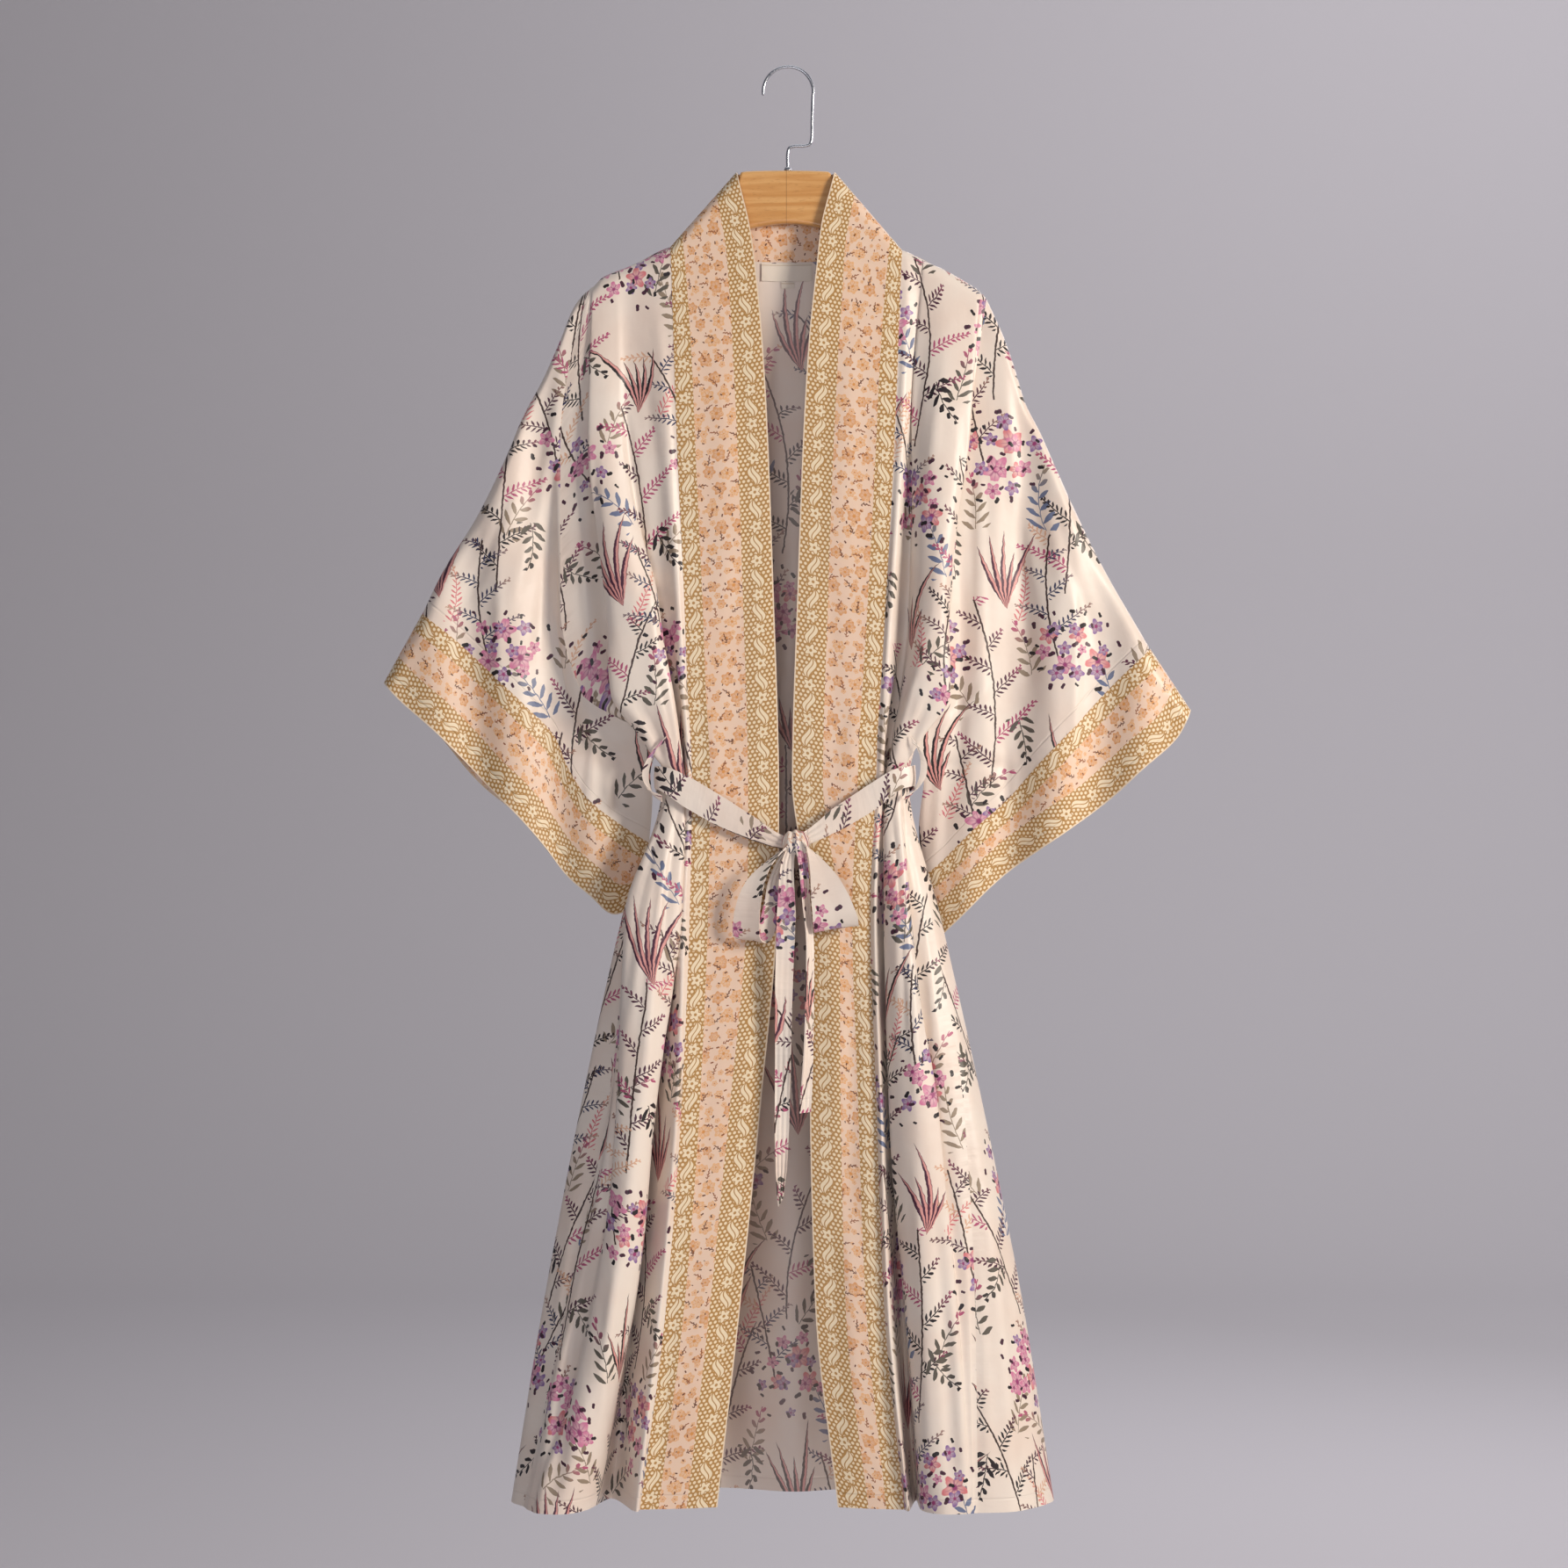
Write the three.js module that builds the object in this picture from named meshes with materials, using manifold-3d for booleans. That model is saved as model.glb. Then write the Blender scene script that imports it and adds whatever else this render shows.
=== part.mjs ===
// Kimono dress hanging on a wooden hanger: open robe with floral panels, wide sleeves,
// contrast neckband and cuffs, and a self belt tied in a bow at the front.
// Millimetres, +Z up, the front faces -Y. The origin is the inside of the hook's top.
// Left and right are as seen from the front: left is -X.
import * as THREE from 'three';
import { mergeVertices } from 'three/addons/utils/BufferGeometryUtils.js';
import Module from 'manifold-3d';

const wasm = await Module();
wasm.setup();

// Driving sizes
const CLOTH = 1.5;
const SEAM_GAP = 0.3;
const CORNER_GAP = 1.4;
const SHOULDER_ROLL = 12;
const UNDERARM_Z = -616;
const HEM_Z = -1302;
const WOOD_THICK = 11;
const WIRE_RADIUS = 1.5;
const HOOK_RADIUS = 22.8;

const COLOURS = {
  floral: 0xe6d8cb,
  border: 0xe3b98c,
  wood: 0xd9a05c,
  steel: 0xb9bcc0,
  label: 0xeae0cf,
};

// Heights of the stations in the fold tables, from the shoulder down. Each fold has its own top.
const STATION_Z = [-338, -490, -570, UNDERARM_Z, -650, -770, -938, -1122, HEM_Z];

// Fold tables. A row is one fold line from shoulder to hem: its top height, whether the
// shoulder rolls over there (roll 1) or the neckband stands on it (roll 0), then x and y at
// top, chest, ribs, lift, underarm, waist, hip, thigh, knee and hem.
const FRONT_LEFT = [
  { fold: 'band seam', top: -163, roll: 1,
    x: [-106, -100, -93, -90, -87, -86, -88, -95, -109, -132],
    y: [-12, -20, -22, -23, -24, -25, -30, -38, -45, -50] },
  { fold: 'strip beside band', top: -170, roll: 1,
    x: [-120, -115, -101, -95, -91, -90, -94, -101, -117, -137],
    y: [-12, -21, -25, -26, -26, -26, -36, -44, -50, -56] },
  { fold: 'inner recess', top: -181, roll: 1,
    x: [-144, -141, -121, -105, -97, -95, -104, -119, -137, -160],
    y: [-11, -14, -10, -12, -14, -15, -17, -16, -12, -4] },
  { fold: 'roll right edge', top: -186, roll: 1,
    x: [-157, -151, -117, -101, -95, -93, -97, -118, -140, -180],
    y: [-12, -20, -28, -32, -28, -25, -38, -46, -50, -52] },
  { fold: 'roll crest', top: -191, roll: 1,
    x: [-168, -165, -137, -118, -104, -99, -119, -133, -155, -201],
    y: [-12, -24, -38, -38, -31, -27, -48, -60, -66, -70] },
  { fold: 'roll left edge', top: -199, roll: 1,
    x: [-176, -180, -165, -158, -128, -108, -145, -151, -172, -222],
    y: [-12, -22, -30, -34, -29, -25, -42, -50, -58, -66] },
  { fold: 'outer recess', top: -200, roll: 1,
    x: [-178, -176, -159, -150, -120, -106, -142, -148, -178, -228],
    y: [-11, -12, -12, -14, -16, -16, -26, -34, -46, -58] },
  { fold: 'outer crest', top: -203, roll: 1,
    x: [-181, -192, -186, -172, -119, -108, -142, -156, -191, -233],
    y: [-11, -12, -13, -14, -12, -14, -24, -34, -42, -50] },
  { fold: 'side seam', top: -205, roll: 1,
    x: [-184, -206, -206, -186, -117, -112, -143, -161, -199, -237],
    y: [-10, -10, -10, -10, -7, -7, -17, -24, -32, -38] },
];

const FRONT_RIGHT = [
  { fold: 'band seam', top: -166, roll: 1,
    x: [104, 97, 89, 84, 81, 80, 75, 80, 87, 105],
    y: [-12, -20, -22, -23, -24, -25, -30, -38, -45, -50] },
  { fold: 'strip beside band', top: -168, roll: 1,
    x: [110, 105, 95, 90, 87, 85, 80, 85, 92, 109],
    y: [-12, -21, -24, -25, -26, -26, -34, -43, -50, -55] },
  { fold: 'inner recess', top: -174, roll: 1,
    x: [121, 114, 109, 102, 94, 90, 89, 95, 104, 117],
    y: [-11, -12, -8, -11, -14, -15, -16, -18, -16, -12] },
  { fold: 'roll left edge', top: -177, roll: 1,
    x: [127, 113, 113, 104, 95, 89, 88, 92, 105, 121],
    y: [-12, -18, -22, -27, -27, -25, -35, -44, -50, -54] },
  { fold: 'roll crest', top: -185, roll: 1,
    x: [145, 138, 131, 118, 104, 95, 100, 114, 127, 139],
    y: [-12, -30, -40, -40, -31, -27, -48, -60, -66, -70] },
  { fold: 'roll right edge', top: -201, roll: 1,
    x: [172, 164, 147, 146, 118, 103, 109, 133, 149, 158],
    y: [-12, -25, -33, -36, -29, -25, -41, -54, -62, -68] },
  { fold: 'outer recess', top: -204, roll: 1,
    x: [175, 158, 141, 136, 113, 103, 107, 130, 153, 163],
    y: [-11, -14, -17, -20, -17, -16, -25, -42, -57, -67] },
  { fold: 'outer crest', top: -207, roll: 1,
    x: [178, 160, 144, 139, 115, 106, 118, 145, 161, 166],
    y: [-11, -11, -12, -13, -12, -13, -26, -44, -57, -66] },
  { fold: 'side seam', top: -210, roll: 1,
    x: [181, 163, 148, 143, 117, 109, 130, 158, 168, 170],
    y: [-10, -9, -9, -10, -7, -7, -20, -39, -54, -64] },
];

const BACK = [
  { fold: 'left side seam', top: -205, roll: 1,
    x: [-184, -206, -206, -186, -117, -112, -143, -161, -199, -237],
    y: [11, 12, 13, 12, -7, -7, -17, -24, -32, -38] },
  { fold: 'left outline', top: -202, roll: 1,
    x: [-179, -198, -194, -176, -116, -113, -149, -186, -221, -250],
    y: [12, 16, 17, 15, 6, 2, -4, -8, -12, -14] },
  { fold: 'left back crest', top: -187, roll: 1,
    x: [-152, -160, -155, -142, -109, -104, -133, -168, -205, -238],
    y: [12, 19, 21, 20, 15, 11, 14, 18, 22, 26] },
  { fold: 'left neck corner', top: -163, roll: 1,
    x: [-106, -122, -118, -108, -92, -86, -108, -134, -160, -186],
    y: [12, 14, 14, 15, 18, 20, 22, 30, 36, 40] },
  { fold: 'left inner crest', top: -170, roll: 0,
    x: [-76, -80, -76, -70, -61, -58, -72, -90, -106, -122],
    y: [9, 18, 24, 24, 19, 16, 17, 20, 22, 24] },
  { fold: 'left valley', top: -174, roll: 0,
    x: [-36, -38, -36, -34, -30, -29, -34, -42, -52, -60],
    y: [11, 16, 17, 18, 21, 22, 30, 36, 40, 42] },
  { fold: 'centre crest', top: -175, roll: 0,
    x: [0, 4, 2, 0, -1, -1, 2, 5, 4, 6],
    y: [11, 18, 23, 24, 19, 17, 21, 24, 24, 25] },
  { fold: 'right valley', top: -174, roll: 0,
    x: [36, 42, 38, 34, 28, 26, 36, 48, 58, 68],
    y: [11, 15, 17, 18, 21, 22, 30, 34, 38, 40] },
  { fold: 'right inner crest', top: -171, roll: 0,
    x: [76, 82, 76, 70, 58, 55, 72, 92, 112, 128],
    y: [9, 18, 24, 24, 18, 16, 18, 22, 24, 26] },
  { fold: 'right neck corner', top: -166, roll: 1,
    x: [104, 118, 108, 102, 86, 82, 102, 130, 158, 182],
    y: [12, 15, 16, 17, 19, 20, 25, 31, 37, 40] },
  { fold: 'right back crest', top: -190, roll: 1,
    x: [151, 146, 132, 126, 107, 101, 124, 161, 199, 229],
    y: [12, 18, 20, 20, 14, 10, 12, 16, 18, 20] },
  { fold: 'right outline', top: -205, roll: 1,
    x: [176, 159, 144, 139, 116, 110, 138, 176, 213, 241],
    y: [12, 15, 16, 15, 6, 2, -3, -8, -12, -14] },
  { fold: 'right front wrap', top: -208, roll: 1,
    x: [179, 161, 146, 141, 117, 110, 135, 168, 194, 208],
    y: [11, 13, 14, 13, 2, -3, -14, -32, -47, -56] },
  { fold: 'right side seam', top: -210, roll: 1,
    x: [181, 163, 148, 143, 117, 109, 130, 158, 168, 170],
    y: [11, 12, 13, 12, -7, -7, -20, -39, -54, -64] },
];
const CENTRE_BACK = 6;
const LEFT_CORNER = 3;
const RIGHT_CORNER = 9;

// The neckband's opening edge in front, from the shoulder crest down: height, x and depth.
const OPENING_EDGE = [
  { z: -95, left: -46, right: 43, y: 0 },
  { z: -108, left: -43, right: 39.8, y: -10 },
  { z: -146, left: -34, right: 30.5, y: -12 },
  { z: -182, left: -29, right: 26.5, y: -14 },
  { z: -250, left: -22.5, right: 19.5, y: -17 },
  { z: -338, left: -17.5, right: 14.3, y: -19 },
  { z: -490, left: -12, right: 8.7, y: -20 },
  { z: -616, left: -8, right: 4.6, y: -22 },
  { z: -650, left: -7.5, right: 4.2, y: -22 },
  { z: -700, left: -7.5, right: 10, y: -23 },
  { z: -770, left: -9, right: 19.6, y: -25 },
  { z: -938, left: -23.7, right: 20.4, y: -31 },
  { z: -1122, left: -42.5, right: 25.2, y: -36 },
  { z: HEM_Z, left: -63, right: 45.5, y: -40 },
];
const BAND_LEVEL_Z = -338;
const BAND_BACK_Y = 9.5;
const BAND_BACK_TOP_Z = -96;
const BAND_CROWN = 1.2;
// The crown grows over this many rows below the shoulder, and the band's free edge comes level
// with its seam at this power of the way left.
const CROWN_ROWS = 8;
const BAND_LEVEL_POWER = 1.2;

// Sleeve outlines as seen from the front: the folded top edge, the cuff seam, the cuff hem
// and the folded lower edge from the underarm. Each row is one point.
const SLEEVE_LEFT = {
  top: [
    { x: -184, z: -205 }, { x: -193, z: -216 }, { x: -206, z: -247 }, { x: -222, z: -283 }, { x: -241, z: -319 },
    { x: -256, z: -355 }, { x: -282, z: -408 }, { x: -313, z: -458 }, { x: -332, z: -497 },
  ],
  seam: [
    { x: -332, z: -497 }, { x: -302, z: -521 }, { x: -266, z: -554 }, { x: -236, z: -583 },
    { x: -212, z: -609 }, { x: -200, z: -637 }, { x: -180, z: -667 }, { x: -154, z: -688 },
    { x: -127, z: -706 },
  ],
  hem: [
    { x: -367, z: -560 }, { x: -351, z: -577 }, { x: -319, z: -605 }, { x: -270, z: -656 },
    { x: -244, z: -682 }, { x: -223, z: -707 }, { x: -202, z: -735 }, { x: -180, z: -754 },
    { x: -160, z: -771 }, { x: -143, z: -767 },
  ],
  under: [
    { x: -117, y: -7, z: UNDERARM_Z }, { x: -125, y: 5, z: -640 }, { x: -124, y: 17, z: -668 },
    { x: -127, y: 21, z: -706 },
  ],
  backHemDrop: 8,
};
const SLEEVE_RIGHT = {
  top: [
    { x: 181, z: -210 }, { x: 196, z: -243 }, { x: 207, z: -274 }, { x: 217, z: -306 },
    { x: 230, z: -332 }, { x: 245, z: -366 }, { x: 264, z: -408 }, { x: 289, z: -458 },
    { x: 330, z: -529 },
  ],
  seam: [
    { x: 330, z: -529 }, { x: 300, z: -558 }, { x: 266, z: -594 }, { x: 232, z: -630 },
    { x: 201, z: -666 }, { x: 170, z: -693 }, { x: 142, z: -722 }, { x: 124, z: -738 },
  ],
  hem: [
    { x: 367, z: -585 }, { x: 354, z: -610 }, { x: 322, z: -639 }, { x: 289, z: -670 },
    { x: 254, z: -695 }, { x: 221, z: -718 }, { x: 187, z: -745 }, { x: 161, z: -771 },
    { x: 135, z: -797 },
  ],
  under: [
    { x: 117, y: -7, z: UNDERARM_Z }, { x: 125, y: 5, z: -640 }, { x: 121, y: 18, z: -690 },
    { x: 124, y: 22, z: -738 },
  ],
  backHemDrop: 0,
};
const SLEEVE_LOFT_CUFF = 13;
// The loft's share lost from the top fold to the lower fold, the sleeve's width laid flat, and
// how far from the two folds the plumb folds fade out
const LOFT_LOSS = 0.45;
const SLEEVE_WIDTH = 285;
const TOP_FADE = 40;
const LOW_FADE = 50;
// The plumb folds lean outwards below this height by this share of their drop
const LEAN_Z = -600;
const LEAN_SHARE = 0.04;
// Where the back layer's hem hangs lowest, and over what share of the width it does
const DROP_AT = 0.36;
const DROP_SPREAD = 0.12;
const CUFF_TOP_ROLL = 12;
const CUFF_LOW_ROLL = 18;
const CUFF_LOW_Y = 22;

// Soft plumb folds in the sleeves: where the fold stands, how wide it is and how far it
// stands out (minus is towards the front), fading in from the armhole.
const SLEEVE_FOLDS_LEFT = [
  { x: -318, width: 20, out: -5 },
  { x: -285, width: 18, out: 5 },
  { x: -250, width: 22, out: -7 },
  { x: -214, width: 16, out: 5 },
  { x: -178, width: 18, out: -6 },
];
const SLEEVE_FOLDS_RIGHT = [
  { x: 322, width: 20, out: -6 },
  { x: 286, width: 20, out: 5 },
  { x: 246, width: 22, out: -8 },
  { x: 208, width: 18, out: 6 },
  { x: 172, width: 18, out: -5 },
];

// Rows of the body grids: angles over the shoulder roll, fractions of the way down to the
// underarm, and heights below it.
const ROLL_ANGLES = [0, 30, 60, 90];
const UPPER_ROWS = [0.06, 0.13, 0.21, 0.31, 0.42, 0.54, 0.66, 0.77, 0.87, 0.95, 1];
const LOWER_ROWS = [-633, -650, -675, -710, -770, -826, -882, -938, -1000, -1061, -1122, -1182,
  -1242, HEM_Z];
const UNDERARM_ROW = ROLL_ANGLES.length + UPPER_ROWS.length - 1;
const ROW_COUNT = UNDERARM_ROW + 1 + LOWER_ROWS.length;
const SPLITS_FRONT = 2;
const SPLITS_BACK = 2;
const SLEEVE_STEPS = 8;
const CUFF_STEPS = 2;
const BAND_STEPS = 3;

// Monotone cubic curve through the knots, so a fold never overshoots its stations.
function monotone(knots, values) {
  const slopes = knots.slice(1).map((k, i) => (values[i + 1] - values[i]) / (k - knots[i]));
  const tangents = values.map((_, i) => {
    if (i === 0) return slopes[0];
    if (i === values.length - 1) return slopes[i - 1];
    if (slopes[i - 1] * slopes[i] <= 0) return 0;
    return 2 * slopes[i - 1] * slopes[i] / (slopes[i - 1] + slopes[i]);
  });
  return (k) => {
    const rising = knots[1] > knots[0];
    let i = 0;
    while (i < knots.length - 2 && (rising ? k > knots[i + 1] : k < knots[i + 1])) i += 1;
    const span = knots[i + 1] - knots[i];
    const t = THREE.MathUtils.clamp((k - knots[i]) / span, 0, 1);
    const [t2, t3] = [t * t, t * t * t];
    return values[i] * (2 * t3 - 3 * t2 + 1) + tangents[i] * span * (t3 - 2 * t2 + t)
      + values[i + 1] * (3 * t2 - 2 * t3) + tangents[i + 1] * span * (t3 - t2);
  };
}

// A fold line as a function of height. Over the shoulder its depth follows a quarter circle.
function foldLine(row) {
  const knots = [row.top, ...STATION_Z];
  const xAt = monotone(knots, row.x);
  const yAt = monotone(knots, row.y);
  return (z) => {
    const drop = Math.min((row.top - z) / SHOULDER_ROLL, 1);
    const turn = row.roll ? Math.sqrt(Math.max(0, 1 - (1 - drop) ** 2)) : 1;
    return new THREE.Vector3(xAt(z), yAt(z) * turn, z);
  };
}

// Height of a grid row on one fold line.
function rowHeight(row, index) {
  if (index < ROLL_ANGLES.length) {
    return row.top - SHOULDER_ROLL * (1 - Math.cos(THREE.MathUtils.degToRad(ROLL_ANGLES[index])));
  }
  if (index <= UNDERARM_ROW) {
    const share = UPPER_ROWS[index - ROLL_ANGLES.length];
    return THREE.MathUtils.lerp(row.top - SHOULDER_ROLL, UNDERARM_Z, share);
  }
  return LOWER_ROWS[index - UNDERARM_ROW - 1];
}

function catmull(p0, p1, p2, p3, t) {
  const [t2, t3] = [t * t, t * t * t];
  return new THREE.Vector3()
    .addScaledVector(p0, 0.5 * (-t3 + 2 * t2 - t))
    .addScaledVector(p1, 0.5 * (3 * t3 - 5 * t2 + 2))
    .addScaledVector(p2, 0.5 * (-3 * t3 + 4 * t2 + t))
    .addScaledVector(p3, 0.5 * (t3 - t2));
}

// One panel as columns of points. Across the folds it is a smooth curve through the fold
// lines; below the underarm the curve runs on into the neighbouring panel at its side seams.
function panelColumns(table, splits, before, after) {
  const lines = table.map(foldLine);
  const beforeLine = before && foldLine(before);
  const afterLine = after && foldLine(after);
  const last = table.length - 1;
  const columns = [];
  for (let step = 0; step <= last * splits; step += 1) {
    const i = Math.min(Math.floor(step / splits), last - 1);
    const t = step / splits - i;
    const column = [];
    for (let r = 0; r < ROW_COUNT; r += 1) {
      const points = lines.map((line, k) => line(rowHeight(table[k], r)));
      const reflected = (a, b) => a.clone().multiplyScalar(2).sub(b);
      const joined = r >= UNDERARM_ROW;
      const z = points[0].z;
      const p0 = i > 0 ? points[i - 1]
        : (joined && beforeLine ? beforeLine(z) : reflected(points[0], points[1]));
      const p3 = i < last - 1 ? points[i + 2]
        : (joined && afterLine ? afterLine(z) : reflected(points[last], points[last - 1]));
      const p = catmull(p0, points[i], points[i + 1], p3, t);
      if (r === 0 && table[i].roll && table[i + 1].roll) p.y = 0;
      column.push(p);
    }
    columns.push(column);
  }
  return columns;
}

// Moves the border points of a grid inwards by half the seam gap, and by more where three
// pieces meet: corners lists those places along each border.
function insetGrid(grid, sides, corners = {}) {
  const pull = (from, to, side, place) => {
    const step = to.clone().sub(from);
    const half = corners[side]?.includes(place) ? CORNER_GAP : SEAM_GAP / 2;
    return from.clone().addScaledVector(step, half / step.length());
  };
  const out = grid.map((column) => column.map((p) => p.clone()));
  const [lastU, lastV] = [grid.length - 1, grid[0].length - 1];
  if (sides.includes('first')) {
    out[0] = grid[0].map((p, j) => pull(p, grid[1][j], 'first', j));
  }
  if (sides.includes('last')) {
    out[lastU] = grid[lastU].map((p, j) => pull(p, grid[lastU - 1][j], 'last', j));
  }
  out.forEach((column, i) => {
    if (sides.includes('top')) column[0] = pull(column[0], column[1], 'top', i);
    if (sides.includes('bottom')) {
      column[lastV] = pull(column[lastV], column[lastV - 1], 'bottom', i);
    }
  });
  return out;
}

// Surface direction at each grid point, from the differences to its neighbours. Past a seam
// the neighbour is the next piece's own point, so both edges of the seam stand the same way.
function gridNormals(grid, closed, next) {
  const [nu, nv] = [grid.length, grid[0].length];
  const wrap = (i) => (closed ? (i + nu) % nu : THREE.MathUtils.clamp(i, 0, nu - 1));
  return grid.map((column, i) => column.map((p, j) => {
    const left = (i === 0 && next.first?.[j]) || grid[wrap(i - 1)][j];
    const right = (i === nu - 1 && next.last?.[j]) || grid[wrap(i + 1)][j];
    const starts = j === 0 || (j === UNDERARM_ROW && next.last && (i === 0 || i === nu - 1));
    const above = starts ? (j === 0 && next.top?.[i]) || p : column[j - 1];
    const below = j < nv - 1 ? column[j + 1] : next.bottom?.[i] || p;
    return right.clone().sub(left).cross(below.clone().sub(above)).normalize();
  }));
}

// A grid of points given a thickness, as one closed solid. Next holds the points of the
// neighbouring pieces past its borders.
function wall(grid, thickness, { closed = false, next = {} } = {}) {
  const [nu, nv] = [grid.length, grid[0].length];
  const normals = gridNormals(grid, closed, next);
  const positions = [];
  for (const side of [1, -1]) {
    grid.forEach((column, i) => column.forEach((p, j) => {
      const q = p.clone().addScaledVector(normals[i][j], side * thickness / 2);
      positions.push(q.x, q.y, q.z);
    }));
  }
  const at = (side, i, j) => side * nu * nv + (i % nu) * nv + j;
  const faces = [];
  const quad = (a, b, c, d) => faces.push(a, b, c, a, c, d);
  const spans = closed ? nu : nu - 1;
  for (let i = 0; i < spans; i += 1) {
    for (let j = 0; j < nv - 1; j += 1) {
      quad(at(0, i, j), at(0, i + 1, j), at(0, i + 1, j + 1), at(0, i, j + 1));
      quad(at(1, i, j), at(1, i, j + 1), at(1, i + 1, j + 1), at(1, i + 1, j));
    }
    quad(at(0, i, 0), at(1, i, 0), at(1, i + 1, 0), at(0, i + 1, 0));
    quad(at(0, i, nv - 1), at(0, i + 1, nv - 1), at(1, i + 1, nv - 1), at(1, i, nv - 1));
  }
  if (!closed) {
    for (let j = 0; j < nv - 1; j += 1) {
      quad(at(0, 0, j), at(0, 0, j + 1), at(1, 0, j + 1), at(1, 0, j));
      quad(at(0, nu - 1, j), at(1, nu - 1, j), at(1, nu - 1, j + 1), at(0, nu - 1, j + 1));
    }
  }
  const geometry = new THREE.BufferGeometry();
  geometry.setAttribute('position', new THREE.Float32BufferAttribute(positions, 3));
  geometry.setIndex(faces);
  return geometry;
}

function toManifold(geometry) {
  const bare = geometry.clone();
  bare.deleteAttribute('normal');
  bare.deleteAttribute('uv');
  const merged = mergeVertices(bare, 1e-4);
  const solid = new wasm.Manifold(new wasm.Mesh({
    numProp: 3,
    vertProperties: new Float32Array(merged.attributes.position.array),
    triVerts: new Uint32Array(merged.index.array),
  }));
  return solid;
}

function fromManifold(solid) {
  const mesh = solid.getMesh();
  const geometry = new THREE.BufferGeometry();
  geometry.setAttribute('position', new THREE.Float32BufferAttribute(mesh.vertProperties, 3));
  geometry.setIndex([...mesh.triVerts]);
  return geometry;
}

const group = new THREE.Group();

function addPiece(name, geometry, colour, roughness, metalness = 0) {
  const material = new THREE.MeshStandardMaterial({ color: colour, roughness, metalness });
  const mesh = new THREE.Mesh(geometry, material);
  mesh.name = name;
  group.add(mesh);
}

// Body panels
const frontLeft = panelColumns(FRONT_LEFT, SPLITS_FRONT, null, BACK[1]);
const frontRight = panelColumns(FRONT_RIGHT, SPLITS_FRONT, null, BACK[BACK.length - 2]);
const back = panelColumns(BACK, SPLITS_BACK, FRONT_LEFT[7], FRONT_RIGHT[7]);

// Neckband halves: a strip between the neck and front seam and the opening edge
function openingEdge(side, seamZ, crestZ) {
  const low = crestZ - SHOULDER_ROLL;
  const progress = THREE.MathUtils.clamp((low - seamZ) / (low - BAND_LEVEL_Z), 0, 1);
  const z = seamZ + (OPENING_EDGE[0].z - crestZ) * (1 - progress) ** BAND_LEVEL_POWER;
  const knots = OPENING_EDGE.map((row) => row.z);
  const x = monotone(knots, OPENING_EDGE.map((row) => row[side]))(z);
  const drop = Math.min((OPENING_EDGE[0].z - z) / (OPENING_EDGE[0].z - OPENING_EDGE[1].z), 1);
  const y = drop < 1 ? OPENING_EDGE[1].y * Math.sqrt(1 - (1 - drop) ** 2)
    : monotone(knots, OPENING_EDGE.map((row) => row.y))(z);
  return new THREE.Vector3(x, y, z);
}

function bandGrid(side, frontTable, frontColumns, corner) {
  const stations = [];
  const crestX = OPENING_EDGE[0][side];
  const direction = Math.sign(corner - CENTRE_BACK);
  const backSteps = Math.abs(corner - CENTRE_BACK) * SPLITS_BACK;
  for (let k = 0; k < backSteps; k += 1) {
    const seam = back[CENTRE_BACK * SPLITS_BACK + direction * k][0];
    const turn = Math.PI / 2 * k / backSteps;
    const opening = new THREE.Vector3(
      crestX * Math.cbrt(Math.sin(turn)), BAND_BACK_Y * Math.cbrt(Math.cos(turn)),
      THREE.MathUtils.lerp(BAND_BACK_TOP_Z, OPENING_EDGE[0].z, k / backSteps));
    stations.push({ seam, opening, front: 0 });
  }
  frontColumns[0].forEach((seam, r) => {
    const opening = openingEdge(side, seam.z, frontTable[0].top);
    stations.push({ seam, opening, front: Math.min(r / CROWN_ROWS, 1) });
  });
  const columns = [];
  for (let k = 0; k <= BAND_STEPS; k += 1) {
    const across = k / BAND_STEPS;
    columns.push(stations.map(({ seam, opening, front }) => {
      const p = seam.clone().lerp(opening, across);
      p.y -= BAND_CROWN * front * Math.sin(Math.PI * across);
      return p;
    }));
  }
  return columns;
}
const bandLeft = bandGrid('left', FRONT_LEFT, frontLeft, LEFT_CORNER);
const bandRight = bandGrid('right', FRONT_RIGHT, frontRight, RIGHT_CORNER);

// Sleeves and cuffs
function polyline(rows) {
  const curve = new THREE.CatmullRomCurve3(
    rows.map((row) => new THREE.Vector3(row.x, row.y ?? 0, row.z)), false, 'centripetal');
  return (t) => curve.getPointAt(THREE.MathUtils.clamp(t, 0, 1));
}

// How far round the fold a point is that lies this far from it: 0 on the fold, 1 past the roll.
function roundness(distance, roll) {
  return Math.sqrt(Math.max(0, 1 - (1 - Math.min(distance / roll, 1)) ** 2));
}

// Share of the way down the sleeve's width for each armhole row.
function ringShares(width) {
  const rolled = ROLL_ANGLES.map((angle) => (
    CUFF_TOP_ROLL * (1 - Math.cos(THREE.MathUtils.degToRad(angle))) / width));
  const start = CUFF_TOP_ROLL / width;
  return [...rolled, ...UPPER_ROWS.map((share) => start + share * (1 - start))];
}

function foldOffset(folds, x, z, ease) {
  return folds.reduce((sum, fold) => {
    const lean = fold.x + (z - LEAN_Z) * LEAN_SHARE * Math.sign(fold.x);
    return sum + fold.out * ease * Math.exp(-(((x - lean) / fold.width) ** 2));
  }, 0);
}

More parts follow.
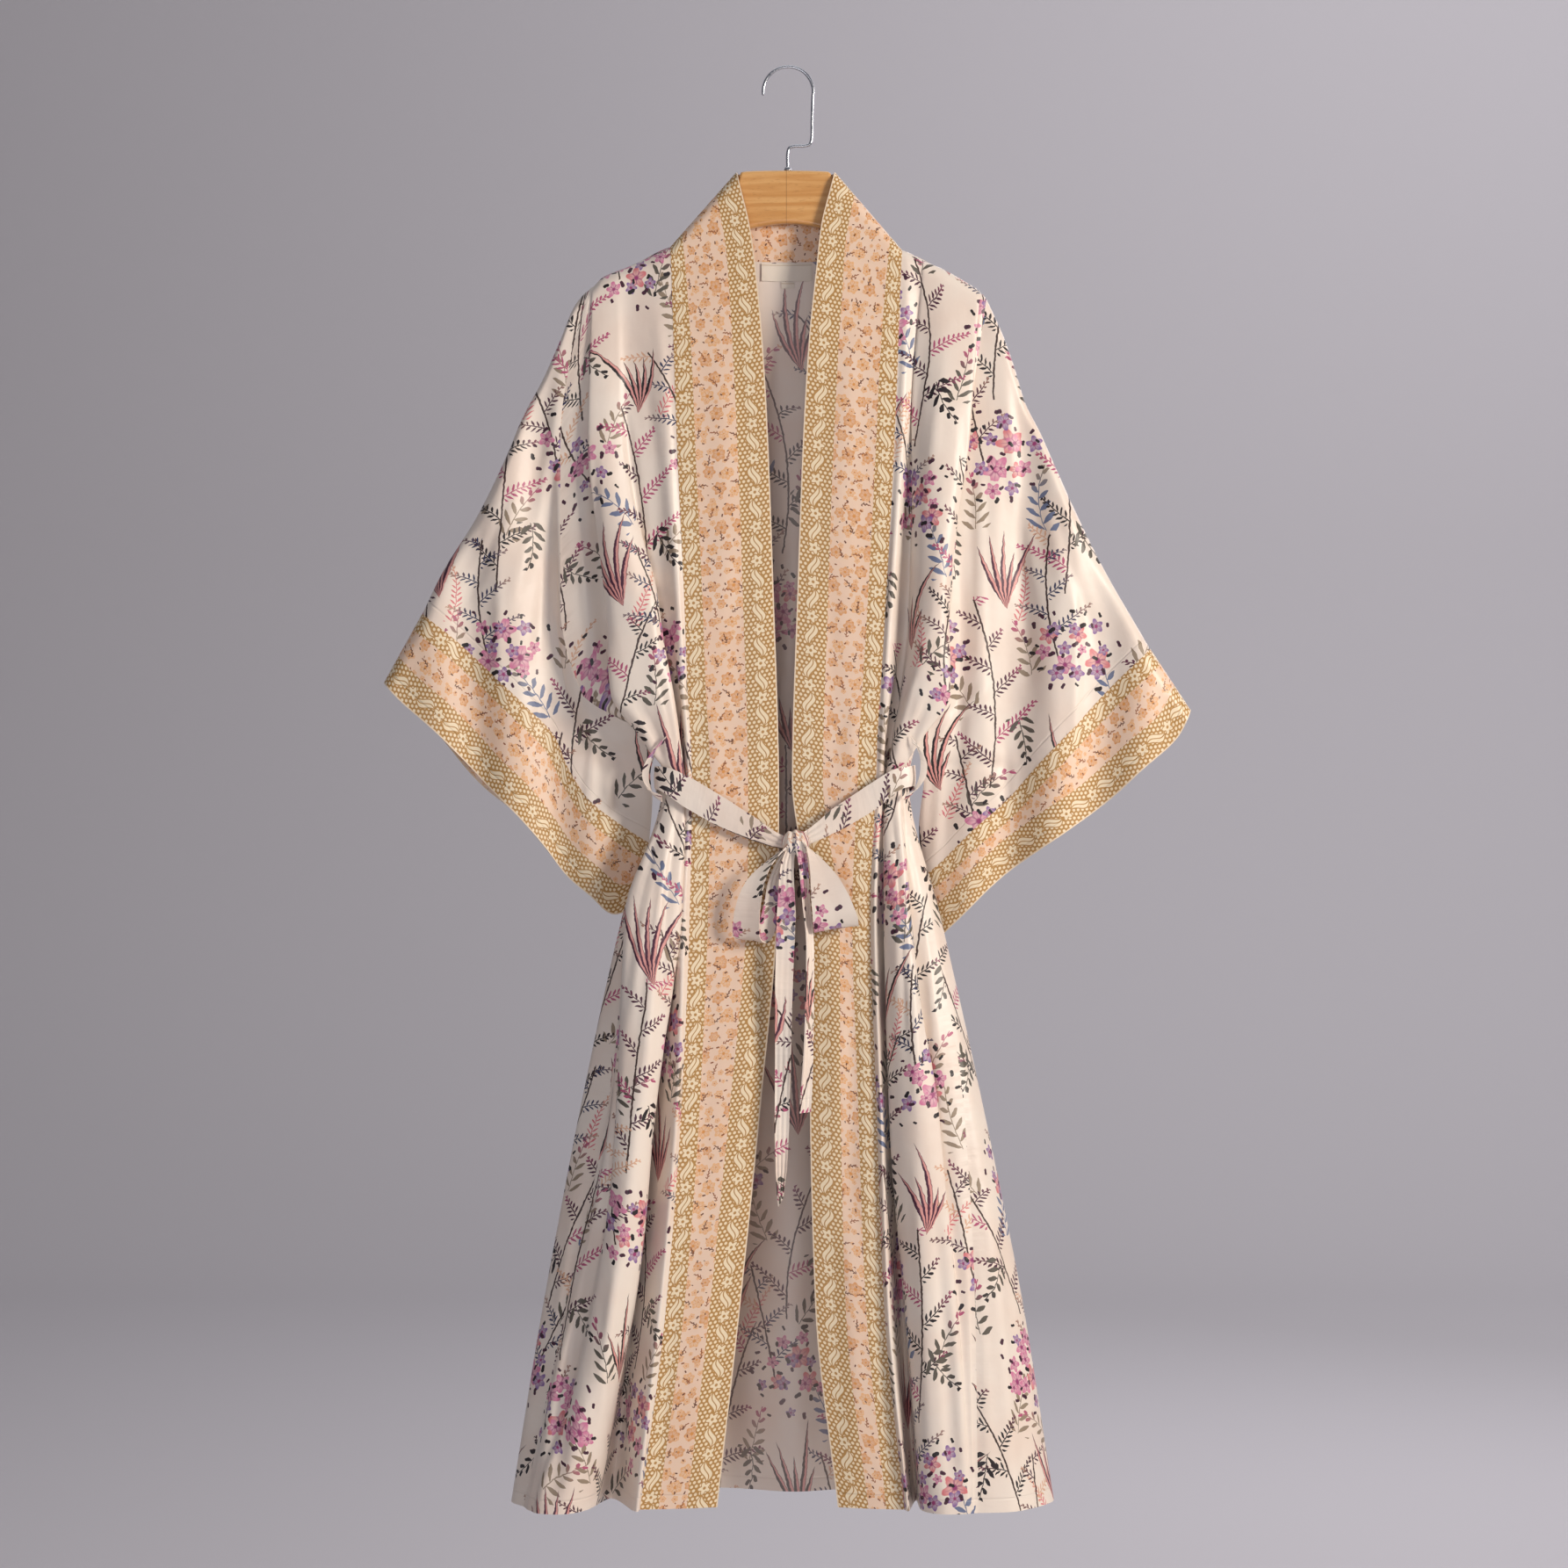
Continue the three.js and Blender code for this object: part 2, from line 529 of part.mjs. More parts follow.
function sleeveRings(shape, frontSeam, backSeam, folds) {
  const top = polyline(shape.top);
  const seam = polyline(shape.seam);
  const hem = polyline(shape.hem);
  const under = polyline(shape.under);
  const width = SLEEVE_WIDTH;
  const shares = ringShares(width);
  const last = shares.length - 1;
  const cuffPoint = (curve, w, face, drop) => {
    const p = curve(w);
    const loft = SLEEVE_LOFT_CUFF * roundness(w * width, CUFF_TOP_ROLL)
      * roundness((1 - w) * width, CUFF_LOW_ROLL);
    p.y = CUFF_LOW_Y * w ** 2 + face * loft * (1 - LOFT_LOSS * w);
    if (face > 0) p.z -= drop * Math.exp(-(((w - DROP_AT) / DROP_SPREAD) ** 2));
    return p;
  };
  const layer = (i, t, face) => {
    const w = shares[i];
    const armhole = face < 0 ? frontSeam[i] : backSeam[i];
    const cuff = cuffPoint(seam, w, face, 0);
    const p = armhole.clone().multiplyScalar(1 - t).addScaledVector(cuff, t)
      .addScaledVector(top(t), 1 - w).addScaledVector(under(t), w)
      .addScaledVector(top(0), -(1 - w) * (1 - t)).addScaledVector(under(0), -w * (1 - t))
      .addScaledVector(top(1), -(1 - w) * t).addScaledVector(under(1), -w * t);
    const edge = roundness(w * width, TOP_FADE) * roundness((1 - w) * width, LOW_FADE);
    p.y += foldOffset(folds, p.x, p.z, Math.sin(Math.PI * Math.min(t, 0.5)) * edge);
    return p;
  };
  const cuffLayer = (i, t, face) => {
    const w = shares[i];
    const p = cuffPoint(seam, w, face, 0).lerp(cuffPoint(hem, w, face, shape.backHemDrop), t);
    const edge = roundness(w * width, TOP_FADE) * roundness((1 - w) * width, LOW_FADE);
    p.y += foldOffset(folds, p.x, p.z, edge);
    return p;
  };
  const ring = (make, steps) => {
    const columns = [];
    for (let i = 0; i <= last; i += 1) {
      columns.push(Array.from({ length: steps + 1 }, (_, k) => make(i, k / steps, -1)));
    }
    for (let i = last - 1; i > 0; i -= 1) {
      columns.push(Array.from({ length: steps + 1 }, (_, k) => make(i, k / steps, 1)));
    }
    return columns;
  };
  return { sleeve: ring(layer, SLEEVE_STEPS), cuff: ring(cuffLayer, CUFF_STEPS) };
}

const lastColumn = (columns) => columns[columns.length - 1];
const sleeveLeft = sleeveRings(SLEEVE_LEFT, lastColumn(frontLeft), back[0], SLEEVE_FOLDS_LEFT);
const sleeveRight = sleeveRings(SLEEVE_RIGHT, lastColumn(frontRight), lastColumn(back),
  SLEEVE_FOLDS_RIGHT);

// What lies past each border, piece by piece
const mirrored = (p) => new THREE.Vector3(p.x, -p.y, p.z);
const backSteps = (RIGHT_CORNER - CENTRE_BACK) * SPLITS_BACK;
const ringLast = UNDERARM_ROW;
const ringSize = 2 * ringLast;
const ringBack = (ring, i) => ring[(ring.length - i) % ring.length];

function pastFront(columns, band, sleeve, backEdge) {
  return {
    first: band[1].slice(backSteps),
    last: columns[0].map((_, r) => (r < ringLast ? sleeve[r][1] : backEdge[r])),
    top: columns.map((column) => mirrored(column[1])),
  };
}

function pastBack() {
  const edge = (sleeve, front) => back[0].map((_, r) => (
    r < ringLast ? ringBack(sleeve, r)[1] : front[front.length - 2][r]));
  return {
    first: edge(sleeveLeft.sleeve, frontLeft),
    last: edge(sleeveRight.sleeve, frontRight),
    top: back.map((column, c) => {
      const steps = c - CENTRE_BACK * SPLITS_BACK;
      if (Math.abs(steps) >= backSteps) return mirrored(column[1]);
      return (steps < 0 ? bandLeft : bandRight)[1][Math.abs(steps)];
    }),
  };
}

function pastBand(direction, frontColumns, other) {
  const centre = CENTRE_BACK * SPLITS_BACK;
  const behind = Array.from({ length: backSteps }, (_, k) => back[centre + direction * k][1]);
  return { first: [...behind, ...frontColumns[1]], top: other.map((column) => column[1]) };
}

function pastSleeve(rings, front, backEdge) {
  return {
    top: rings.sleeve.map((column, i) => {
      if (i === ringLast) return column[0];
      return i < ringLast ? front[front.length - 2][i] : backEdge[rings.sleeve.length - i];
    }),
    bottom: rings.cuff.map((column) => column[1]),
  };
}

const pastCuff = (rings) => ({ top: rings.sleeve.map((column) => column[SLEEVE_STEPS - 1]) });

const panelSides = ['first', 'last', 'top'];
const bandSides = ['first', 'top'];
const tubeEnds = ['top', 'bottom'];
const SATIN_ROUGHNESS = 0.5;
const BORDER_ROUGHNESS = 0.55;
const floral = [COLOURS.floral, SATIN_ROUGHNESS];
const border = [COLOURS.border, BORDER_ROUGHNESS];
const underarmCorner = [ringLast - 2, ringLast - 1, ringLast, ringLast + 1];
const armholeRows = [1, 2, 3, 4, ...underarmCorner];
addPiece('front_left', wall(insetGrid(frontLeft, panelSides, { last: armholeRows }), CLOTH,
  { next: pastFront(frontLeft, bandLeft, sleeveLeft.sleeve, back[1]) }), ...floral);
addPiece('front_right', wall(insetGrid(frontRight, panelSides, { last: armholeRows }), CLOTH, {
  next: pastFront(frontRight, bandRight, sleeveRight.sleeve, back[back.length - 2]) }), ...floral);
addPiece('back_body', wall(insetGrid(back, panelSides, { first: armholeRows, last: armholeRows }),
  CLOTH, { next: pastBack() }), ...floral);
const neckCorners = { first: [backSteps - 1, backSteps, backSteps + 1] };
addPiece('neckband_left', wall(insetGrid(bandLeft, bandSides, neckCorners), CLOTH,
  { next: pastBand(-1, frontLeft, bandRight) }), ...border);
addPiece('neckband_right', wall(insetGrid(bandRight, bandSides, neckCorners), CLOTH,
  { next: pastBand(1, frontRight, bandLeft) }), ...border);
const ringCorners = {
  top: [1, 2, 3, 4, ...underarmCorner, ringLast + 2, ringSize - 4, ringSize - 3, ringSize - 2,
    ringSize - 1],
};
addPiece('sleeve_left', wall(insetGrid(sleeveLeft.sleeve, tubeEnds, ringCorners), CLOTH,
  { closed: true, next: pastSleeve(sleeveLeft, frontLeft, back[1]) }), ...floral);
addPiece('cuff_left', wall(insetGrid(sleeveLeft.cuff, ['top']), CLOTH,
  { closed: true, next: pastCuff(sleeveLeft) }), ...border);
addPiece('sleeve_right', wall(insetGrid(sleeveRight.sleeve, tubeEnds, ringCorners), CLOTH,
  { closed: true, next: pastSleeve(sleeveRight, frontRight, back[back.length - 2]) }), ...floral);
addPiece('cuff_right', wall(insetGrid(sleeveRight.cuff, ['top']), CLOTH,
  { closed: true, next: pastCuff(sleeveRight) }), ...border);

// Ribbons: belt stretches, bow loops, tails and carriers. A row is a point of the middle
// line and its half-width across as dx, dy, dz.
const BELT_THICK = 1.2;
const BELT_LEFT = [
  { x: 6, y: -38, z: -705, dx: -1, dy: 0, dz: 5 },
  { x: -8, y: -37, z: -703, dx: 1, dy: 0, dz: 6 },
  { x: -30, y: -35, z: -693, dx: 4, dy: 0, dz: 9 },
  { x: -60, y: -34, z: -677, dx: 5.5, dy: 0, dz: 11.5 },
  { x: -89, y: -34, z: -660, dx: 5, dy: 0, dz: 12 },
  { x: -108, y: -34, z: -649, dx: 3, dy: 0, dz: 11 },
  { x: -118.5, y: -28, z: -646, dx: 0, dy: 0, dz: 10 },
  { x: -119, y: -14, z: -647, dx: 0, dy: 0, dz: 10 },
];
const BELT_BACK = [
  { x: -119, y: -13.5, z: -647, dx: 0, dy: 0, dz: 10 },
  { x: -119, y: 2, z: -649, dx: 0, dy: 0, dz: 10.5 },
  { x: -115, y: 15, z: -651, dx: 0, dy: 0, dz: 11 },
  { x: -98, y: 22.5, z: -652, dx: 0, dy: 0, dz: 11.5 },
  { x: -50, y: 24.3, z: -653, dx: 0, dy: 0, dz: 11.5 },
  { x: 0, y: 24.3, z: -653, dx: 0, dy: 0, dz: 11.5 },
  { x: 48, y: 24.3, z: -652, dx: 0, dy: 0, dz: 11.5 },
  { x: 94, y: 22.5, z: -650, dx: 0, dy: 0, dz: 11.5 },
  { x: 111, y: 15, z: -648, dx: 0, dy: 0, dz: 11 },
  { x: 115.5, y: 2, z: -646, dx: 0, dy: 0, dz: 10.5 },
  { x: 115.5, y: -13.5, z: -645, dx: 0, dy: 0, dz: 10 },
];
const BELT_RIGHT = [
  { x: 115.5, y: -14, z: -645, dx: 0, dy: 0, dz: 10 },
  { x: 112, y: -28, z: -645, dx: -1, dy: 0, dz: 9 },
  { x: 99, y: -34, z: -648, dx: -3, dy: 0, dz: 9 },
  { x: 76, y: -34, z: -664, dx: -5, dy: 0, dz: 10 },
  { x: 46, y: -35, z: -683, dx: -5, dy: 0, dz: 9 },
  { x: 24, y: -37, z: -697, dx: -3, dy: 0, dz: 6 },
  { x: 8, y: -38, z: -705, dx: -1, dy: 0, dz: 5 },
];
const LOOP_LEFT = [
  { x: 4, y: -43, z: -706, dx: 4, dy: 0, dz: 3 },
  { x: -8, y: -47, z: -714, dx: 7, dy: -1, dz: 5 },
  { x: -26, y: -50, z: -733, dx: 10, dy: -2, dz: 5 },
  { x: -34, y: -50, z: -755, dx: 11, dy: -3, dz: 2 },
  { x: -37, y: -49, z: -778, dx: 12, dy: -4, dz: 0 },
  { x: -36, y: -45, z: -790, dx: 12, dy: -3, dz: -1 },
  { x: -29, y: -39, z: -793, dx: 11, dy: 2, dz: -2 },
  { x: -20, y: -37, z: -784, dx: 9, dy: 2.5, dz: 0 },
  { x: -14, y: -37, z: -764, dx: 8, dy: 2.5, dz: 0 },
  { x: -11, y: -37, z: -740, dx: 6, dy: 2, dz: 0 },
  { x: -4, y: -37, z: -720, dx: 4, dy: 1, dz: 0 },
  { x: 4, y: -38, z: -708, dx: 3, dy: 0, dz: 1 },
];
const LOOP_RIGHT = [
  { x: 12, y: -44, z: -704, dx: 3, dy: 0, dz: -4 },
  { x: 22, y: -49, z: -712, dx: 6, dy: 0, dz: -5 },
  { x: 32, y: -53, z: -730, dx: 12, dy: 0, dz: -3 },
  { x: 38, y: -54, z: -752, dx: 17, dy: 0, dz: 1 },
  { x: 43, y: -52, z: -774, dx: 20, dy: 0, dz: 3 },
  { x: 44, y: -46, z: -782, dx: 20, dy: 0, dz: 3 },
  { x: 43, y: -40, z: -775, dx: 19, dy: 0, dz: 3 },
  { x: 37, y: -38, z: -752, dx: 16, dy: 0, dz: 1 },
  { x: 29, y: -38, z: -728, dx: 10, dy: 0, dz: -2 },
  { x: 18, y: -39, z: -710, dx: 4, dy: 0, dz: -3 },
  { x: 10, y: -40, z: -704, dx: 3, dy: 0, dz: -3 },
];
const TAIL_LEFT = [
  { x: 4, y: -43, z: -708, dx: 4, dy: 0, dz: 0 },
  { x: 0, y: -46, z: -724, dx: 6, dy: 0, dz: 0 },
  { x: -1, y: -46, z: -770, dx: 8.5, dy: -1, dz: 0 },
  { x: -3, y: -45, z: -830, dx: 8, dy: 1.5, dz: 0 },
  { x: -4, y: -45, z: -900, dx: 7, dy: -1.5, dz: 0 },
  { x: -5, y: -46, z: -962, dx: 6.5, dy: 1, dz: 0 },
  { x: -5.5, y: -47, z: -1000, dx: 5, dy: 0, dz: 2 },
  { x: -6, y: -47, z: -1027, dx: 2, dy: 0, dz: 4 },
];
const TAIL_RIGHT = [
  { x: 11, y: -46, z: -707, dx: 4, dy: 1, dz: 0 },
  { x: 14, y: -48.5, z: -722, dx: 4, dy: 2, dz: 0 },
  { x: 17, y: -47, z: -760, dx: 3.2, dy: 4, dz: 0 },
  { x: 20, y: -44, z: -790, dx: 3, dy: 4.5, dz: 0 },
  { x: 20, y: -43, z: -840, dx: 3.6, dy: 4, dz: 0 },
  { x: 19, y: -43, z: -890, dx: 4, dy: 4, dz: 0 },
  { x: 17, y: -44, z: -930, dx: 5, dy: 3, dz: 0.5 },
  { x: 16, y: -45, z: -947, dx: 5, dy: 2, dz: 0.5 },
];
const CARRIER_LEFT = [
  { x: -110, y: -34.5, z: -612, dx: 1, dy: 0, dz: 3 },
  { x: -117, y: -34.5, z: -618, dx: 2, dy: 0, dz: 2.6 },
  { x: -125, y: -33, z: -631, dx: 3, dy: 0, dz: 1 },
  { x: -128, y: -31, z: -646, dx: 3, dy: 0, dz: -1 },
  { x: -123, y: -32, z: -659, dx: 2.4, dy: 0, dz: -2.4 },
  { x: -113, y: -35, z: -665, dx: 0, dy: 0, dz: -3 },
];
const CARRIER_RIGHT = [
  { x: 112, y: -34.5, z: -612, dx: -1, dy: 0, dz: 3 },
  { x: 119, y: -34.5, z: -620, dx: -2, dy: 0, dz: 2.6 },
  { x: 123, y: -32, z: -634, dx: -3, dy: 0, dz: 0.6 },
  { x: 121, y: -32, z: -648, dx: -3, dy: 0, dz: -0.6 },
  { x: 113, y: -35, z: -660, dx: -2, dy: 0, dz: -2.4 },
  { x: 106, y: -35, z: -664, dx: -1, dy: 0, dz: -3 },
];
const KNOT = { x: 7.5, y: -39.5, z: -705, width: 25, depth: 17, height: 24 };

function ribbon(rows, steps) {
  const middle = polyline(rows);
  const halves = rows.map((row) => new THREE.Vector3(row.dx, row.dy, row.dz));
  const curve = new THREE.CatmullRomCurve3(
    rows.map((row) => new THREE.Vector3(row.x, row.y, row.z)), false, 'centripetal');
  const lengths = curve.getLengths((rows.length - 1) * 20);
  const marks = rows.map((_, k) => lengths[k * 20] / lengths[lengths.length - 1]);
  const half = (t) => {
    let k = 0;
    while (k < marks.length - 2 && t > marks[k + 1]) k += 1;
    const share = THREE.MathUtils.clamp((t - marks[k]) / (marks[k + 1] - marks[k]), 0, 1);
    return halves[k].clone().lerp(halves[k + 1], share);
  };
  return [-1, 0, 1].map((side) => Array.from({ length: steps + 1 }, (_, k) => (
    middle(k / steps).addScaledVector(half(k / steps), side))));
}

function knotSolid(grow) {
  const ball = new THREE.SphereGeometry(0.5, 14, 10);
  ball.scale(KNOT.width + grow, KNOT.depth + grow, KNOT.height + grow);
  ball.translate(KNOT.x, KNOT.y, KNOT.z);
  return ball;
}

const knotRoom = toManifold(knotSolid(2 * SEAM_GAP + 0.2));

// A ribbon that comes out of the knot, cut clear of it.
function knotted(rows, steps) {
  return fromManifold(toManifold(wall(ribbon(rows, steps), BELT_THICK)).subtract(knotRoom));
}
addPiece('belt_left', knotted(BELT_LEFT, 16), COLOURS.floral, 0.5);
addPiece('belt_right', knotted(BELT_RIGHT, 14), COLOURS.floral, 0.5);
addPiece('belt_back', wall(ribbon(BELT_BACK, 24), BELT_THICK), COLOURS.floral, 0.5);
addPiece('bow_knot', knotSolid(0), COLOURS.floral, 0.5);
addPiece('bow_loop_left', knotted(LOOP_LEFT, 22), COLOURS.floral, 0.5);
addPiece('bow_loop_right', knotted(LOOP_RIGHT, 22), COLOURS.floral, 0.5);
addPiece('bow_tail_left', knotted(TAIL_LEFT, 16), COLOURS.floral, 0.5);
addPiece('bow_tail_right', knotted(TAIL_RIGHT, 14), COLOURS.floral, 0.5);
addPiece('carrier_left', wall(ribbon(CARRIER_LEFT, 12), 1), COLOURS.floral, 0.5);
addPiece('carrier_right', wall(ribbon(CARRIER_RIGHT, 12), 1), COLOURS.floral, 0.5);

// Neck label and size tab: patches of the back panel's own surface, moved out to the front
const LABEL = { firstLine: 5.34, lastLine: 6.62, drop: 1.5, height: 16, thick: 0.8, out: 1.5 };
const TAB = { firstLine: 5.84, lastLine: 6.16, drop: 18, height: 6, thick: 0.8, out: 1.5 };
function backPatch({ firstLine, lastLine, drop, height, out }, across, down) {
  const lines = BACK.map(foldLine);
  return Array.from({ length: across + 1 }, (_, i) => {
    const u = THREE.MathUtils.lerp(firstLine, lastLine, i / across);
    const k = Math.floor(u);
    return Array.from({ length: down + 1 }, (_unused, j) => {
      const fall = drop + height * j / down;
      const at = (n) => lines[n](BACK[n].top - fall);
      const p = catmull(at(k - 1), at(k), at(k + 1), at(k + 2), u - k);
      p.y -= out;
      return p;
    });
  });
}
addPiece('neck_label', wall(backPatch(LABEL, 6, 2), LABEL.thick), COLOURS.label, 0.7);
addPiece('size_tab', wall(backPatch(TAB, 2, 1), TAB.thick), COLOURS.label, 0.7);

// Hanger: flat shaped wood with a bore for the hook. A row is one outline point.
const WOOD_OUTLINE = [
  { x: -41, z: -93.6 }, { x: 38, z: -93.6 }, { x: 40, z: -97 }, { x: 48, z: -114 },
  { x: 72, z: -157 }, { x: 100, z: -186 }, { x: 131, z: -195 }, { x: 158, z: -204 },
  { x: 168, z: -212 }, { x: 170, z: -221 }, { x: 162, z: -231 }, { x: 138, z: -222 },
  { x: 104, z: -209 }, { x: 70, z: -182 }, { x: 50, z: -155 }, { x: 33, z: -145.6 },
  { x: 0, z: -140.5 }, { x: -35, z: -145.6 }, { x: -52, z: -155 }, { x: -74, z: -182 },
  { x: -106, z: -209 }, { x: -144, z: -225 }, { x: -170, z: -234 }, { x: -178, z: -225 },
  { x: -176, z: -215 }, { x: -163, z: -205 }, { x: -133, z: -194 }, { x: -102, z: -186 },
  { x: -76, z: -158 }, { x: -52, z: -120 }, { x: -43.2, z: -97 },
];
const BEVEL = 1.5;
const BORE_RADIUS = 1.85;
const BORE_DEPTH = 24;
const WOOD_TOP_Z = -93.6;
const SHANK_X = 0.5;

function woodGeometry() {
  const shape = new THREE.Shape(WOOD_OUTLINE.map((row) => new THREE.Vector2(row.x, row.z)));
  const plate = new THREE.ExtrudeGeometry(shape, {
    depth: WOOD_THICK - 2 * BEVEL, bevelEnabled: true, bevelThickness: BEVEL, bevelSize: BEVEL,
    bevelOffset: -BEVEL, bevelSegments: 2, curveSegments: 4,
  });
  plate.translate(0, 0, BEVEL - WOOD_THICK / 2);
  plate.rotateX(Math.PI / 2);
  const bore = new THREE.CylinderGeometry(BORE_RADIUS, BORE_RADIUS, BORE_DEPTH + 4, 16);
  bore.rotateX(Math.PI / 2);
  bore.translate(SHANK_X, 0, WOOD_TOP_Z - BORE_DEPTH / 2 + 2);
  return fromManifold(toManifold(plate).subtract(toManifold(bore)));
}

function hookGeometry() {
  const arcCentre = new THREE.Vector3(0.9, 0, -(HOOK_RADIUS - WIRE_RADIUS));
  const points = [];
  for (let angle = 185; angle >= -10; angle -= 15) {
    const a = THREE.MathUtils.degToRad(angle);
    points.push(new THREE.Vector3(
      arcCentre.x + HOOK_RADIUS * Math.cos(a), 0, arcCentre.z + HOOK_RADIUS * Math.sin(a)));
  }
  points.push(
    new THREE.Vector3(22.6, 0, -48), new THREE.Vector3(22.2, 0, -64),
    new THREE.Vector3(20.6, 0, -69), new THREE.Vector3(16, 0, -70.6),
    new THREE.Vector3(7, 0, -70.8), new THREE.Vector3(2.2, 0, -72.4),
    new THREE.Vector3(SHANK_X, 0, -77), new THREE.Vector3(SHANK_X, 0, -92),
    new THREE.Vector3(SHANK_X, 0, WOOD_TOP_Z - BORE_DEPTH + 3));
  const path = new THREE.CatmullRomCurve3(points, false, 'centripetal');
  const section = new THREE.Shape();
  section.absarc(0, 0, WIRE_RADIUS, 0, 2 * Math.PI);
  const wire = new THREE.ExtrudeGeometry(section, {
    steps: 44, extrudePath: path, curveSegments: 4, bevelEnabled: false });
  const collar = new THREE.CylinderGeometry(2.6, 3.6, 3, 20);
  collar.rotateX(Math.PI / 2);
  collar.translate(SHANK_X, 0, WOOD_TOP_Z + SEAM_GAP + 1.5);
  return fromManifold(toManifold(wire).add(toManifold(collar)));
}
addPiece('hanger_wood', woodGeometry(), COLOURS.wood, 0.35);
addPiece('hanger_hook', hookGeometry(), COLOURS.steel, 0.25, 1);

export default group;
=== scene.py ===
"""Kimono dress hanging on a wooden hanger, for Blender 4.5.

The robe is open in front, with wide sleeves, a contrast neckband and cuffs, and a self belt
tied in a bow. Every cloth piece is a thin closed shell worked out from fold tables. Tables are
in millimetres, in the frame of the CAD model: +Z up, the front faces -Y, the origin inside the
hook's top. Left and right are as seen from the front.
"""
import math

import bpy
import mathutils
import numpy as np
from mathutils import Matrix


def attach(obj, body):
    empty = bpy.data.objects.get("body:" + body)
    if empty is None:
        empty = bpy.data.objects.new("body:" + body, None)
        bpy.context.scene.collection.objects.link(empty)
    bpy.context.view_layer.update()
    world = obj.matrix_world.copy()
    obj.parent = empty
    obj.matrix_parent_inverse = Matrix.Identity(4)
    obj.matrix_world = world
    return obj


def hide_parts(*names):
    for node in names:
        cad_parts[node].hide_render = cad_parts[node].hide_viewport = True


bl_info = {
    "name": "Kimono dress on hanger",
    "version": (1, 0, 0),
    "blender": (4, 5, 0),
    "location": "3D View > Sidebar > Kimono",
    "description": "Builds a hanging kimono dress with its folds, prints, belt and hanger",
    "category": "Object",
}

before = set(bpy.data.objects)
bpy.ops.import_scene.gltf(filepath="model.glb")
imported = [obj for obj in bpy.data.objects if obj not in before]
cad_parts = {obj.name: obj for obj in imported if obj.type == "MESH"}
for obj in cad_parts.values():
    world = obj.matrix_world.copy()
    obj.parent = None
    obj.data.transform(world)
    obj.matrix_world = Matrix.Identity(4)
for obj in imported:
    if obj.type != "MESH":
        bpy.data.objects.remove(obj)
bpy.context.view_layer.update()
MM = 0.001

# Which setting of a node its menu changes
MENUS = {"Math": "operation", "VectorMath": "operation", "MapRange": "interpolation_type",
         "VectorRotate": "rotation_type", "Mix": "data_type"}

# Driving sizes in millimetres, as in the CAD model. The robe: the roll over the shoulder, the
# underarm, the hem, and the heights where the fold tables give x and y.
SHOULDER_ROLL = 12
UNDERARM_Z = -616
HEM_Z = -1302
STATION_Z = (-338, -490, -570, UNDERARM_Z, -650, -770, -938, -1122, HEM_Z)
# The hanger: its wood's thickness, rounded edge, flat face's inset past it and steps round it,
# then the hook's wire, arc, the arc's middle, the shank and the wood's top.
WOOD_THICK = 11
WOOD_EDGE = 3.0
WOOD_FACE_INSET = 0.5
WOOD_STEPS = 320
WIRE_RADIUS = 1.5
HOOK_RADIUS = 22.8
HOOK_X = 0.9
SHANK_X = 0.5
SHANK_DEPTH = 20
WOOD_TOP_Z = -93.6
# The knot: its middle, its length, depth and height, and how full it is round its waist.
KNOT = (7.5, -39.5, -705)
KNOT_SIZE = (25, 17, 24)
KNOT_FULL = 0.96
# The label's stand-off from the back, and the thickness of its weave.
LABEL_OUT = 1.5
LABEL_THICK = 0.5
# The neckband: its place and height behind the neck, the height where its free edge comes level
# with its seam, and the swell across it, which is full at BAND_CROWN_REACH below the shoulder.
BAND_BACK_Y = 9.5
BAND_BACK_TOP_Z = -96
BAND_LEVEL_Z = -338
BAND_CROWN = 1.2
BAND_CROWN_REACH = 200
# A sleeve: its width laid flat, half its thickness and the share of it lost at its lower fold,
# the rolls of its top and lower folds and how far back the lower one hangs. Its plumb folds fade
# towards both and lean by FOLD_LEAN from the height LEAN_Z. The back layer's hem hangs lower by
# its drop, most at BACK_HEM_AT of the way down.
SLEEVE_WIDTH = 285
SLEEVE_LOFT = 13
SLEEVE_LOFT_LOSS = 0.45
CUFF_TOP_ROLL = 12
CUFF_LOW_ROLL = 18
CUFF_LOW_Y = 22
FOLD_FADE_TOP = 40
FOLD_FADE_LOW = 50
FOLD_LEAN = 0.04
LEAN_Z = -600
BACK_HEM_DROP = {"left": 8, "right": 0}
BACK_HEM_AT = 0.36
BACK_HEM_SPREAD = 0.12
# A crease fades over these shares of its length, and over so many millimetres at a sewn edge.
CREASE_START = 0.28
CREASE_END = 0.72
CREASE_SEWN = 10
# Pleats show fully on a ribbon of the first half-width, and not at all from the second on.
PLEAT_HALF_WIDTHS = (4, 10)
# Distance given to points that have no seam or edge near them.
NO_EDGE = 900.0

# How finely the grids are cut: columns between two folds, and rows over the shoulder roll,
# down to the underarm and from there to the hem.
SPLITS = 9
ROLL_ROWS = 8
UPPER_ROWS = 84
LOWER_ROWS = 116
UNDERARM_ROW = ROLL_ROWS + UPPER_ROWS
SLEEVE_ROWS = 72
CUFF_ROWS = 28
BAND_COLUMNS = 22
RIBBON_COLUMNS = 14
SPLINE_STEPS = 40
WIRE_SIDES = 16
WIRE_END_STEPS = 6
TURNED_SIDES = 40

